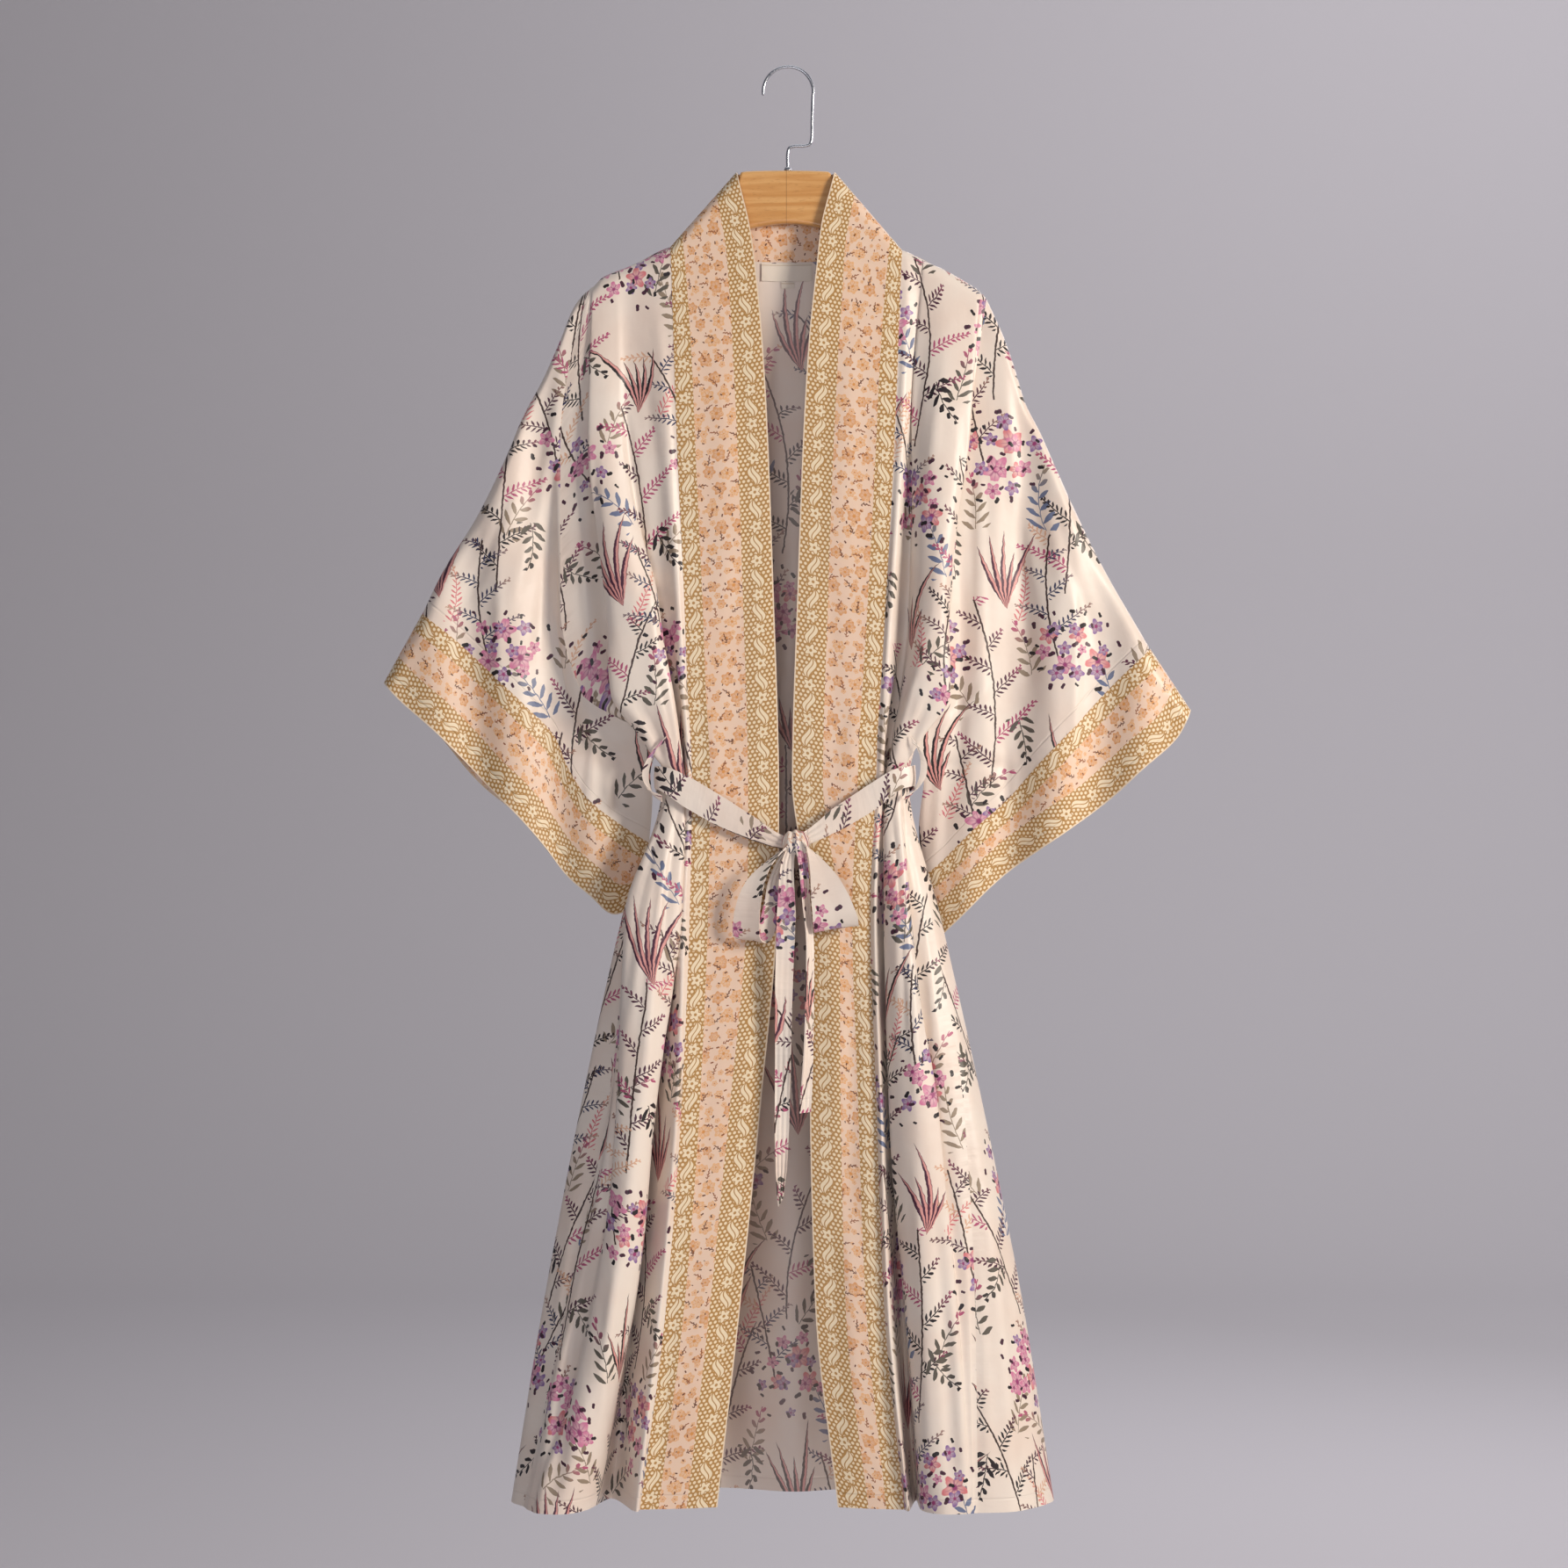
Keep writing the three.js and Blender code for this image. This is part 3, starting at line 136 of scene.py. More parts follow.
# Fold tables. A row is one fold line from shoulder to hem: its name, the height of its top,
# whether the shoulder rolls over there, then x and y at top, chest, ribs, lift, underarm,
# waist, hip, thigh, knee and hem.
FRONT_LEFT = (
    ("band seam", -163, 1,
     (-106, -100, -93, -90, -87, -86, -88, -95, -109, -132),
     (-12, -20, -22, -23, -24, -25, -30, -38, -45, -50)),
    ("strip beside band", -170, 1,
     (-120, -115, -101, -95, -91, -90, -94, -101, -117, -137),
     (-12, -21, -25, -26, -26, -26, -36, -44, -50, -56)),
    ("inner recess", -181, 1,
     (-144, -141, -121, -105, -97, -95, -104, -119, -137, -160),
     (-11, -14, -10, -12, -14, -15, -17, -16, -12, -4)),
    ("roll right edge", -186, 1,
     (-157, -151, -117, -101, -95, -93, -97, -118, -140, -180),
     (-12, -20, -28, -32, -28, -25, -38, -46, -50, -52)),
    ("roll crest", -191, 1,
     (-168, -165, -137, -118, -104, -99, -119, -133, -155, -201),
     (-12, -24, -38, -38, -31, -27, -48, -60, -66, -70)),
    ("roll left edge", -199, 1,
     (-176, -180, -165, -158, -128, -108, -145, -151, -172, -222),
     (-12, -22, -30, -34, -29, -25, -42, -50, -58, -66)),
    ("outer recess", -200, 1,
     (-178, -176, -159, -150, -120, -106, -142, -148, -178, -228),
     (-11, -12, -12, -14, -16, -16, -26, -34, -46, -58)),
    ("outer crest", -203, 1,
     (-181, -192, -186, -172, -119, -108, -142, -156, -191, -233),
     (-11, -12, -13, -14, -12, -14, -24, -34, -42, -50)),
    ("side seam", -205, 1,
     (-184, -206, -206, -186, -117, -112, -143, -161, -199, -237),
     (-10, -10, -10, -10, -7, -7, -17, -24, -32, -38)),
)

FRONT_RIGHT = (
    ("band seam", -166, 1,
     (104, 97, 89, 84, 81, 80, 75, 80, 87, 105),
     (-12, -20, -22, -23, -24, -25, -30, -38, -45, -50)),
    ("strip beside band", -168, 1,
     (110, 105, 95, 90, 87, 85, 80, 85, 92, 109),
     (-12, -21, -24, -25, -26, -26, -34, -43, -50, -55)),
    ("inner recess", -174, 1,
     (121, 114, 109, 102, 94, 90, 89, 95, 104, 117),
     (-11, -12, -8, -11, -14, -15, -16, -18, -16, -12)),
    ("roll left edge", -177, 1,
     (127, 113, 113, 104, 95, 89, 88, 92, 105, 121),
     (-12, -18, -22, -27, -27, -25, -35, -44, -50, -54)),
    ("roll crest", -185, 1,
     (145, 138, 131, 118, 104, 95, 100, 114, 127, 139),
     (-12, -30, -40, -40, -31, -27, -48, -60, -66, -70)),
    ("roll right edge", -201, 1,
     (172, 164, 147, 146, 118, 103, 109, 133, 149, 158),
     (-12, -25, -33, -36, -29, -25, -41, -54, -62, -68)),
    ("outer recess", -204, 1,
     (175, 158, 141, 136, 113, 103, 107, 130, 153, 163),
     (-11, -14, -17, -20, -17, -16, -25, -42, -57, -67)),
    ("outer crest", -207, 1,
     (178, 160, 144, 139, 115, 106, 118, 145, 161, 166),
     (-11, -11, -12, -13, -12, -13, -26, -44, -57, -66)),
    ("side seam", -210, 1,
     (181, 163, 148, 143, 117, 109, 130, 158, 168, 170),
     (-10, -9, -9, -10, -7, -7, -20, -39, -54, -64)),
)

BACK = (
    ("left side seam", -205, 1,
     (-184, -206, -206, -186, -117, -112, -143, -161, -199, -237),
     (11, 12, 13, 12, -7, -7, -17, -24, -32, -38)),
    ("left outline", -202, 1,
     (-179, -198, -194, -176, -116, -113, -149, -186, -221, -250),
     (12, 16, 17, 15, 6, 2, -4, -8, -12, -14)),
    ("left back crest", -187, 1,
     (-152, -160, -155, -142, -109, -104, -133, -168, -205, -238),
     (12, 19, 21, 20, 15, 11, 14, 18, 22, 26)),
    ("left neck corner", -163, 1,
     (-106, -122, -118, -108, -92, -86, -108, -134, -160, -186),
     (12, 14, 14, 15, 18, 20, 22, 30, 36, 40)),
    ("left inner crest", -170, 0,
     (-76, -80, -76, -70, -61, -58, -72, -90, -106, -122),
     (9, 18, 24, 24, 19, 16, 17, 20, 22, 24)),
    ("left valley", -174, 0,
     (-36, -38, -36, -34, -30, -29, -34, -42, -52, -60),
     (11, 16, 17, 18, 21, 22, 30, 36, 40, 42)),
    ("centre crest", -175, 0,
     (0, 4, 2, 0, -1, -1, 2, 5, 4, 6),
     (11, 18, 23, 24, 19, 17, 21, 24, 24, 25)),
    ("right valley", -174, 0,
     (36, 42, 38, 34, 28, 26, 36, 48, 58, 68),
     (11, 15, 17, 18, 21, 22, 30, 34, 38, 40)),
    ("right inner crest", -171, 0,
     (76, 82, 76, 70, 58, 55, 72, 92, 112, 128),
     (9, 18, 24, 24, 18, 16, 18, 22, 24, 26)),
    ("right neck corner", -166, 1,
     (104, 118, 108, 102, 86, 82, 102, 130, 158, 182),
     (12, 15, 16, 17, 19, 20, 25, 31, 37, 40)),
    ("right back crest", -190, 1,
     (151, 146, 132, 126, 107, 101, 124, 161, 199, 229),
     (12, 18, 20, 20, 14, 10, 12, 16, 18, 20)),
    ("right outline", -205, 1,
     (176, 159, 144, 139, 116, 110, 138, 176, 213, 241),
     (12, 15, 16, 15, 6, 2, -3, -8, -12, -14)),
    ("right front wrap", -208, 1,
     (179, 161, 146, 141, 117, 110, 135, 168, 194, 208),
     (11, 13, 14, 13, 2, -3, -14, -32, -47, -56)),
    ("right side seam", -210, 1,
     (181, 163, 148, 143, 117, 109, 130, 158, 168, 170),
     (11, 12, 13, 12, -7, -7, -20, -39, -54, -64)),
)

# Fold lines of the back by number: its middle, and those that meet the corners of the neck.
CENTRE_BACK = 6
LEFT_CORNER = 3
RIGHT_CORNER = 9

# Free edge of the neckband, downwards: height, x of the left and of the right half, and y.
OPENING_EDGE = (
    (-95, -46, 43, 0), (-108, -43, 39.8, -10), (-146, -34, 30.5, -12), (-182, -29, 26.5, -14),
    (-250, -22.5, 19.5, -17), (-338, -17.5, 14.3, -19), (-490, -12, 8.7, -20),
    (-616, -8, 4.6, -22), (-650, -7.5, 4.2, -22), (-700, -7.5, 10, -23), (-770, -9, 19.6, -25),
    (-938, -23.7, 20.4, -31), (-1122, -42.5, 25.2, -36), (HEM_Z, -63, 45.5, -40),
)

# Ribbons: the middle line's x, y and z, then the half-width's x, y and z there.
BELT_LEFT = (
    (6, -38, -705, -1, 0, 5), (-8, -37, -703, 1, 0, 6), (-30, -35, -693, 4, 0, 9),
    (-60, -34, -677, 5.5, 0, 11.5), (-89, -34, -660, 5, 0, 12), (-108, -34, -649, 3, 0, 11),
    (-118.5, -28, -646, 0, 0, 10), (-119, -14, -647, 0, 0, 10),
)
BELT_BACK = (
    (-119, -13.5, -647, 0, 0, 10), (-119, 2, -649, 0, 0, 10.5), (-115, 15, -651, 0, 0, 11),
    (-98, 22.5, -652, 0, 0, 11.5), (-50, 24.3, -653, 0, 0, 11.5), (0, 24.3, -653, 0, 0, 11.5),
    (48, 24.3, -652, 0, 0, 11.5), (94, 22.5, -650, 0, 0, 11.5), (111, 15, -648, 0, 0, 11),
    (115.5, 2, -646, 0, 0, 10.5), (115.5, -13.5, -645, 0, 0, 10),
)
BELT_RIGHT = (
    (115.5, -14, -645, 0, 0, 10), (112, -28, -645, -1, 0, 9), (99, -34, -648, -3, 0, 9),
    (76, -34, -664, -5, 0, 10), (46, -35, -683, -5, 0, 9), (24, -37, -697, -3, 0, 6),
    (8, -38, -705, -1, 0, 5),
)
LOOP_LEFT = (
    (4, -43, -706, 4, 0, 3), (-8, -47, -714, 7, -1, 5), (-26, -50, -733, 10, -2, 5),
    (-34, -50, -755, 11, -3, 2), (-37, -49, -778, 12, -4, 0), (-36, -45, -790, 12, -3, -1),
    (-29, -39, -793, 11, 2, -2), (-20, -37, -784, 9, 2.5, 0), (-14, -37, -764, 8, 2.5, 0),
    (-11, -37, -740, 6, 2, 0), (-4, -37, -720, 4, 1, 0), (4, -38, -708, 3, 0, 1),
)
LOOP_RIGHT = (
    (12, -44, -704, 3, 0, -4), (22, -49, -712, 6, 0, -5), (32, -53, -730, 12, 0, -3),
    (38, -54, -752, 17, 0, 1), (43, -52, -774, 20, 0, 3), (44, -46, -782, 20, 0, 3),
    (43, -40, -775, 19, 0, 3), (37, -38, -752, 16, 0, 1), (29, -38, -728, 10, 0, -2),
    (18, -39, -710, 4, 0, -3), (10, -40, -704, 3, 0, -3),
)
TAIL_LEFT = (
    (4, -43, -708, 4, 0, 0), (0, -46, -724, 6, 0, 0), (-1, -46, -770, 8.5, -1, 0),
    (-3, -45, -830, 8, 1.5, 0), (-4, -45, -900, 7, -1.5, 0), (-5, -46, -962, 6.5, 1, 0),
    (-5.5, -47, -1000, 5, 0, 2), (-6, -47, -1027, 2, 0, 4),
)
TAIL_RIGHT = (
    (11, -46, -707, 4, 1, 0), (14, -48.5, -722, 4, 2, 0), (17, -47, -760, 3.2, 4, 0),
    (20, -44, -790, 3, 4.5, 0), (20, -43, -840, 3.6, 4, 0), (19, -43, -890, 4, 4, 0),
    (17, -44, -930, 5, 3, 0.5), (16, -45, -947, 5, 2, 0.5),
)
CARRIER_LEFT = (
    (-110, -34.5, -612, 1, 0, 3), (-117, -34.5, -618, 2, 0, 2.6), (-125, -33, -631, 3, 0, 1),
    (-128, -31, -646, 3, 0, -1), (-123, -32, -659, 2.4, 0, -2.4), (-113, -35, -665, 0, 0, -3),
)
CARRIER_RIGHT = (
    (112, -34.5, -612, -1, 0, 3), (119, -34.5, -620, -2, 0, 2.6), (123, -32, -634, -3, 0, 0.6),
    (121, -32, -648, -3, 0, -0.6), (113, -35, -660, -2, 0, -2.4), (106, -35, -664, -1, 0, -3),
)

# Outline of the wood, x and z, before its corners are cut.
WOOD_OUTLINE = (
    (-41, -93.6), (38, -93.6), (40, -97), (48, -114), (72, -157), (100, -186), (131, -195),
    (158, -204), (168, -212), (170, -221), (162, -231), (138, -222), (104, -209), (70, -182),
    (50, -155), (33, -145.6), (0, -140.5), (-35, -145.6), (-52, -155), (-74, -182), (-106, -209),
    (-144, -225), (-170, -234), (-178, -225), (-176, -215), (-163, -205), (-133, -194),
    (-102, -186), (-76, -158), (-52, -120), (-43.2, -97),
)

# Plumb folds of the sleeves: x, half-width and how far it stands forward.
SLEEVE_FOLDS_LEFT = (
    (-318, 20, -5), (-285, 18, 5), (-250, 22, -7), (-214, 16, 5), (-178, 18, -6),
)
SLEEVE_FOLDS_RIGHT = (
    (322, 20, -6), (286, 20, 5), (246, 22, -8), (208, 18, 6), (172, 18, -5),
)

# Outlines of the sleeves as x and z: the top fold, the seam and hem of the cuff, each from its
# top down, and the lower fold from the underarm as x, y and z.
SLEEVE_LEFT = {
    "top": (
        (-184, -205), (-193, -216), (-206, -247), (-222, -283), (-241, -319), (-256, -355),
        (-282, -408), (-313, -458), (-332, -497),
    ),
    "seam": (
        (-332, -497), (-302, -521), (-266, -554), (-236, -583), (-212, -609), (-200, -637),
        (-180, -667), (-154, -688), (-127, -706),
    ),
    "hem": (
        (-367, -560), (-351, -577), (-319, -605), (-270, -656), (-244, -682), (-223, -707),
        (-202, -735), (-180, -754), (-160, -771), (-143, -767),
    ),
    "under": (
        (-117, -7, UNDERARM_Z), (-125, 5, -640), (-124, 17, -668), (-127, 21, -706),
    ),
}
SLEEVE_RIGHT = {
    "top": (
        (181, -210), (196, -243), (207, -274), (217, -306), (230, -332), (245, -366), (264, -408),
        (289, -458), (330, -529),
    ),
    "seam": (
        (330, -529), (300, -558), (266, -594), (232, -630), (201, -666), (170, -693), (142, -722),
        (124, -738),
    ),
    "hem": (
        (367, -585), (354, -610), (322, -639), (289, -670), (254, -695), (221, -718), (187, -745),
        (161, -771), (135, -797),
    ),
    "under": (
        (117, -7, UNDERARM_Z), (125, 5, -640), (121, 18, -690), (124, 22, -738),
    ),
}
SLEEVES = {"left": SLEEVE_LEFT, "right": SLEEVE_RIGHT}
SLEEVE_FOLDS = {"left": SLEEVE_FOLDS_LEFT, "right": SLEEVE_FOLDS_RIGHT}

# Creases laid on the folds: from x, from z, to x, to z, sideways bow, half-width and how far it
# stands out. A minus stands in.
CREASES = {
    "front_left": (
        (-122, -206, -97, -560, 7, 8, 1.3), (-138, -236, -106, -600, 9, 9, -1.8),
        (-153, -260, -120, -590, 10, 7, 1.5), (-174, -330, -154, -575, -6, 7, -1.6),
        (-186, -420, -168, -560, -4, 6, 1.4), (-111, -505, -93, -648, 3, 4.5, -1.9),
        (-101, -530, -89, -646, 2, 3.5, 1.5), (-126, -545, -105, -648, 4, 4.5, 1.8),
        (-146, -560, -112, -640, 6, 5, -1.9), (-160, -572, -118, -628, 7, 5, 1.6),
        (-90, -656, -97, -846, -3, 4, 1.5), (-96, -655, -112, -905, -5, 5, -1.9),
        (-101, -655, -127, -960, -6, 5.5, 1.9), (-107, -660, -146, -890, -7, 5, -1.6),
        (-112, -690, -158, -1040, -9, 8, 1.6), (-121, -960, -140, -1325, -5, 9, 2.1),
        (-166, -1010, -206, -1325, -8, 9, -2.4), (-150, -1060, -170, -1325, -4, 7, 1.7),
        (-196, -1120, -222, -1325, -3, 7, 2.0), (-104, -1010, -121, -1325, -4, 7, -1.6),
    ),
    "front_right": (
        (112, -200, 93, -540, -5, 7, 1.2), (128, -222, 104, -600, -7, 8, -1.7),
        (146, -246, 118, -585, -8, 8, 1.6), (160, -300, 140, -560, 5, 6, -1.4),
        (108, -520, 88, -648, -3, 4, -1.8), (98, -540, 84, -646, -2, 3.5, 1.5),
        (122, -540, 98, -646, -5, 4.5, 1.8), (138, -560, 108, -640, -6, 5, -1.9),
        (86, -656, 90, -822, 2, 4, 1.5), (92, -655, 104, -915, 4, 4.5, -1.8),
        (97, -655, 116, -960, 5, 5, 1.9), (102, -658, 128, -900, 5, 5, -1.5),
        (107, -690, 140, -1010, 6, 7, 1.4), (111, -960, 126, -1325, 4, 8, 1.9),
        (128, -1000, 145, -1325, 5, 8, -2.1), (96, -1000, 112, -1325, 2, 6, -1.6),
        (142, -1080, 158, -1325, 3, 6, 1.7),
    ),
    "back_body": (
        (-150, -230, -112, -600, 9, 10, 1.6), (-128, -250, -92, -560, 7, 9, -1.9),
        (-98, -300, -76, -610, 5, 9, 1.5), (-58, -380, -50, -640, 3, 8, -1.7),
        (-24, -340, -22, -636, 2, 9, 1.6), (18, -420, 14, -640, -2, 8, -1.6),
        (52, -360, 44, -636, -3, 8, 1.7), (92, -300, 70, -600, -5, 9, -1.7),
        (126, -240, 98, -590, -8, 9, 1.7), (-104, -520, -88, -640, 3, 5, -2.2),
        (-70, -540, -62, -641, 2, 4.5, 2.2), (-40, -560, -37, -641, 1, 4, -2.0),
        (-6, -545, -8, -641, 0, 4, 1.9), (30, -560, 25, -641, -1, 4, -2.0),
        (60, -540, 52, -641, -2, 4.5, 2.1), (90, -530, 78, -640, -3, 5, -2.1),
        (-96, -664, -128, -930, -7, 7, 2.1), (-82, -664, -98, -860, -4, 5.5, -2.3),
        (-64, -665, -76, -960, -3, 6, 2.3), (-46, -665, -50, -840, -1, 5, -2.2),
        (-30, -665, -36, -1010, -2, 6, 2.0), (-12, -665, -12, -870, 0, 5, -2.1),
        (8, -665, 12, -940, 1, 6, 2.2), (26, -665, 34, -830, 2, 5, -2.2),
        (44, -664, 58, -990, 3, 6, 2.1), (66, -664, 82, -870, 4, 5.5, -2.2),
        (86, -664, 114, -950, 6, 7, 2.1), (-178, -940, -214, -1325, -6, 11, 2.6),
        (-146, -980, -168, -1325, -4, 10, -2.6), (-84, -1000, -96, -1325, -2, 10, 2.2),
        (-34, -1040, -38, -1325, 0, 9, -2.2), (22, -980, 28, -1325, 1, 10, 2.4),
        (86, -1020, 98, -1325, 3, 9, -2.3), (150, -960, 178, -1325, 5, 11, 2.5),
        (190, -1040, 216, -1325, 4, 9, -2.2),
    ),
    "sleeve_left": (
        (-203, -262, -262, -520, 8, 9, 1.6), (-214, -330, -230, -560, 4, 8, -1.8),
        (-192, -300, -196, -590, 3, 8, 1.7), (-248, -370, -300, -500, 5, 7, -1.4),
        (-176, -560, -186, -700, 3, 6, 1.6), (-150, -590, -160, -690, 2, 5, -1.8),
        (-262, -420, -266, -700, 2, 8, 1.5), (-130, -622, -190, -560, -6, 6, 1.7),
        (-130, -632, -214, -620, -8, 7, -1.7), (-320, -500, -340, -640, 3, 7, 1.5),
        (-226, -560, -236, -740, 3, 7, -1.5),
    ),
    "sleeve_right": (
        (196, -262, 240, -520, -7, 10, 1.7), (212, -330, 226, -600, -4, 9, -1.9),
        (176, -320, 180, -640, -3, 8, 1.7), (240, -380, 288, -540, -5, 8, -1.5),
        (158, -420, 154, -690, 2, 8, -1.7), (262, -440, 264, -720, -2, 8, 1.6),
        (128, -624, 190, -560, 6, 6, 1.8), (128, -640, 210, -640, 7, 7, -1.8),
        (306, -540, 330, -660, -3, 7, 1.5), (200, -600, 204, -770, -2, 7, -1.6),
        (140, -560, 134, -740, 2, 6, 1.5),
    ),
    "neckband_left": (
        (-62, -240, -58, -520, 3, 16, 1.0), (-40, -420, -44, -660, -2, 14, -1.0),
        (-74, -560, -62, -700, 3, 10, 0.9), (-30, -700, -40, -960, -3, 14, 1.2),
        (-68, -760, -76, -1080, -3, 13, -1.3), (-56, -1000, -86, -1325, -5, 15, 1.3),
        (-100, -1080, -116, -1325, -3, 10, -1.0),
    ),
    "neckband_right": (
        (58, -230, 54, -500, -3, 16, 1.0), (36, -440, 40, -660, 2, 13, -1.0),
        (66, -560, 56, -700, -3, 10, 0.9), (34, -720, 44, -980, 3, 13, 1.2),
        (62, -800, 58, -1100, -2, 12, -1.3), (50, -1000, 62, -1325, 4, 15, 1.3),
        (78, -1090, 92, -1325, 3, 9, -1.0),
    ),
}

# Print of the floral satin, a general layout in layers, the last on top. The motifs stand on one
# half-drop repeat, and flowers only in clusters on it. A layer's row is its kind of motif, its
# cell and shift in millimetres, its turn and the spread of turns in degrees, how far it strays,
# then size, leaf, width and pitch in millimetres and its three inks. For a flower they are its
# size, the cluster's radius, the swell and the number of petals, and for a tuft the width of a
# leaf and the angle between leaves in radians.
REPEAT = (132, 176)
CLUSTER_SHIFT = (66, 40)
FROND_ANGLE = math.radians(54)
FROND_LEAF_PITCH = 5.0
INKS = {
    "bark": "#43302B", "black": "#231B1F", "plum": "#4C1F38", "rose": "#B8577B",
    "pink": "#D57BA2", "coral": "#DA7A7F", "violet": "#8560A0", "magenta": "#9C3C74",
    "navy": "#30365A", "slate": "#6F7A98", "taupe": "#9A8975", "peach": "#DDB193",
    "cream": "#EFE5DA", "moss": "#5F594F", "blush": "#DF9F99", "apricot": "#ECB478",
    "amber": "#DD9850", "sienna": "#9C5F36", "umber": "#6F422D",
}
LAYERS = (
    ("sprig", REPEAT, (30, 96), 24, 60, 16, (56, 7.0, 1.0, 5.0), ("peach", "coral", "peach")),
    ("sprig", REPEAT, (96, 8), -24, 50, 14, (60, 15.0, 2.8, 11.5), ("taupe", "slate", "taupe")),
    ("sprig", (101, 123), (14, 40), 12, 90, 22, (52, 14.0, 2.5, 11.0), ("taupe", "moss", "rose")),
    ("branch", REPEAT, (0, 0), 4, 24, 10, (172, 6.6, 1.3, 42), ("black", "plum", "rose")),
    ("branch", REPEAT, (40, 84), -12, 24, 10, (112, 5.8, 1.1, 34), ("plum", "navy", "peach")),
    ("sprig", REPEAT, (88, 128), 160, 60, 12, (44, 13.0, 2.7, 10.0), ("black", "moss", "black")),
    ("tuft", REPEAT, (68, -50), -4, 40, 12, (90, 0, 7.6, 0.2), ("black", "plum", "blush")),
    ("flower", (27, 25), (4, 3), 0, 360, 8, (13.5, 27, 0.2, 5), ("pink", "coral", "magenta")),
    ("flower", (19, 21), (11, 9), 0, 360, 6, (8.6, 35, 0.18, 5), ("violet", "pink", "magenta")),
    ("flower", (14, 13), (2, 3), 0, 360, 7, (3.3, 44, 0.26, 2), ("black", "plum", "black")),
)
BAND_LAYERS = (
    ("flower", (16, 17), (3, 5), 0, 360, 5, (7.4, 400, 0.1, 6), ("apricot", "amber", "amber")),
    ("flower", (10, 11), (8, 1), 0, 360, 4, (3.4, 400, 0.1, 5), ("apricot", "apricot", "amber")),
    ("sprig", (17, 23), (11, 4), 0, 200, 6, (9, 2.2, 0.6, 3.1), ("sienna", "umber", "sienna")),
    ("flower", (9, 10), (1, 7), 0, 360, 4, (1.3, 400, 0.3, 2), ("umber", "sienna", "umber")),
)
# Border strips of the bands in millimetres: widths, the length of a flower and a leaf, how far
# along it their middles are, and the cell of the dots.
SEAM_BORDER = 16.5
EDGE_BORDER = 28
BORDER_PAIR = 31
BORDER_FLOWER = 6.5
BORDER_LEAF = 21.5
BORDER_DOTS = (4.3, 3.7, 1.0)

# Names of the materials that several pieces share
FLORAL = "Printed viscose satin, floral"
BORDER = "Printed viscose satin, border "

# Stage in metres: the floor's height, its front edge, the cove's radius, the wall's place and
# its top. A light is its place, its aim, its size, its power in watts and its colour.
FLOOR_Z = -1.9
FLOOR_FRONT_Y = -7.0
COVE_RADIUS = 2.0
WALL_Y = 7.0
WALL_TOP_Z = 6.0
LIGHTS = {
    "key": ((2.3, -1.8, 0.1), (0.0, 0.0, -0.7), 0.8, 78.0, "#FFF4E8"),
    "fill": ((-0.6, -3.8, -0.9), (0.0, 0.0, -0.8), 2.0, 28.0, "#F8F5FA"),
    "top": ((0.0, 0.6, 2.2), (0.0, 0.0, -0.6), 2.4, 18.0, "#FFFFFF"),
    "rear": ((1.6, 3.0, 0.8), (0.0, 0.0, -0.7), 2.4, 30.0, "#F6F4FF"),
    "wall wash": ((3.0, 2.2, 3.0), (1.2, 7.0, 1.2), 3.0, 190.0, "#F8F6FC"),
}
WORLD_COLOUR = "#C9C7D0"
WORLD_STRENGTH = 0.3
CAMERA_PLACE = (-0.003, -3.0, -0.652)
CAMERA_LENS_MM = 75.6
CAMERA_SENSOR_MM = 36.0


# Shape functions, in millimetres

def monotone(knots, values, at):
    """Cubic Hermite curve through the knots whose inner slopes are the harmonic mean of the two
    neighbouring slopes, or 0 at a turning point, so it never overshoots a knot."""
    knots, values = np.asarray(knots, float), np.asarray(values, float)
    slope = np.diff(values) / np.diff(knots)
    inner = slope[:-1] * slope[1:]
    total = slope[:-1] + slope[1:]
    mean = np.where(inner > 0, 2 * inner / np.where(inner > 0, total, 1), 0)
    tangent = np.concatenate(([slope[0]], mean, [slope[-1]]))
    i = np.clip(np.searchsorted(knots, at, side="right") - 1, 0, len(knots) - 2)
    span = knots[i + 1] - knots[i]
    t = np.clip((at - knots[i]) / span, 0, 1)
    return (values[i] * (2 * t**3 - 3 * t**2 + 1) + tangent[i] * span * (t**3 - 2 * t**2 + t)
            + values[i + 1] * (3 * t**2 - 2 * t**3) + tangent[i + 1] * span * (t**3 - t**2))


def fold_line(row, z):
    """Points of one fold line at heights z: x and y are monotone curves down the stations, and
    over the shoulder y is multiplied by the sine of a quarter turn."""
    _name, top, roll, xs, ys = row
    knots = [-top] + [-station for station in STATION_Z]
    drop = np.clip((top - z) / SHOULDER_ROLL, 0, 1)
    turn = np.sqrt(1 - (1 - drop) ** 2) if roll else 1.0
    return np.stack([monotone(knots, xs, -z), monotone(knots, ys, -z) * turn, z], axis=-1)


def row_heights(top):
    """Heights of the grid rows on a fold line: equal angles over the roll, equal steps to the
    underarm and equal steps to the hem."""
    angle = np.linspace(0, np.pi / 2, ROLL_ROWS, endpoint=False)
    roll = top - SHOULDER_ROLL * (1 - np.cos(angle))
    upper = np.linspace(top - SHOULDER_ROLL, UNDERARM_Z, UPPER_ROWS, endpoint=False)
    return np.concatenate([roll, upper, np.linspace(UNDERARM_Z, HEM_Z, LOWER_ROWS + 1)])


def catmull(p0, p1, p2, p3, t):
    """Uniform Catmull-Rom point between p1 and p2."""
    return 0.5 * (p0 * (-t**3 + 2 * t**2 - t) + p1 * (3 * t**3 - 5 * t**2 + 2)
                  + p2 * (-3 * t**3 + 4 * t**2 + t) + p3 * (t**3 - t**2))


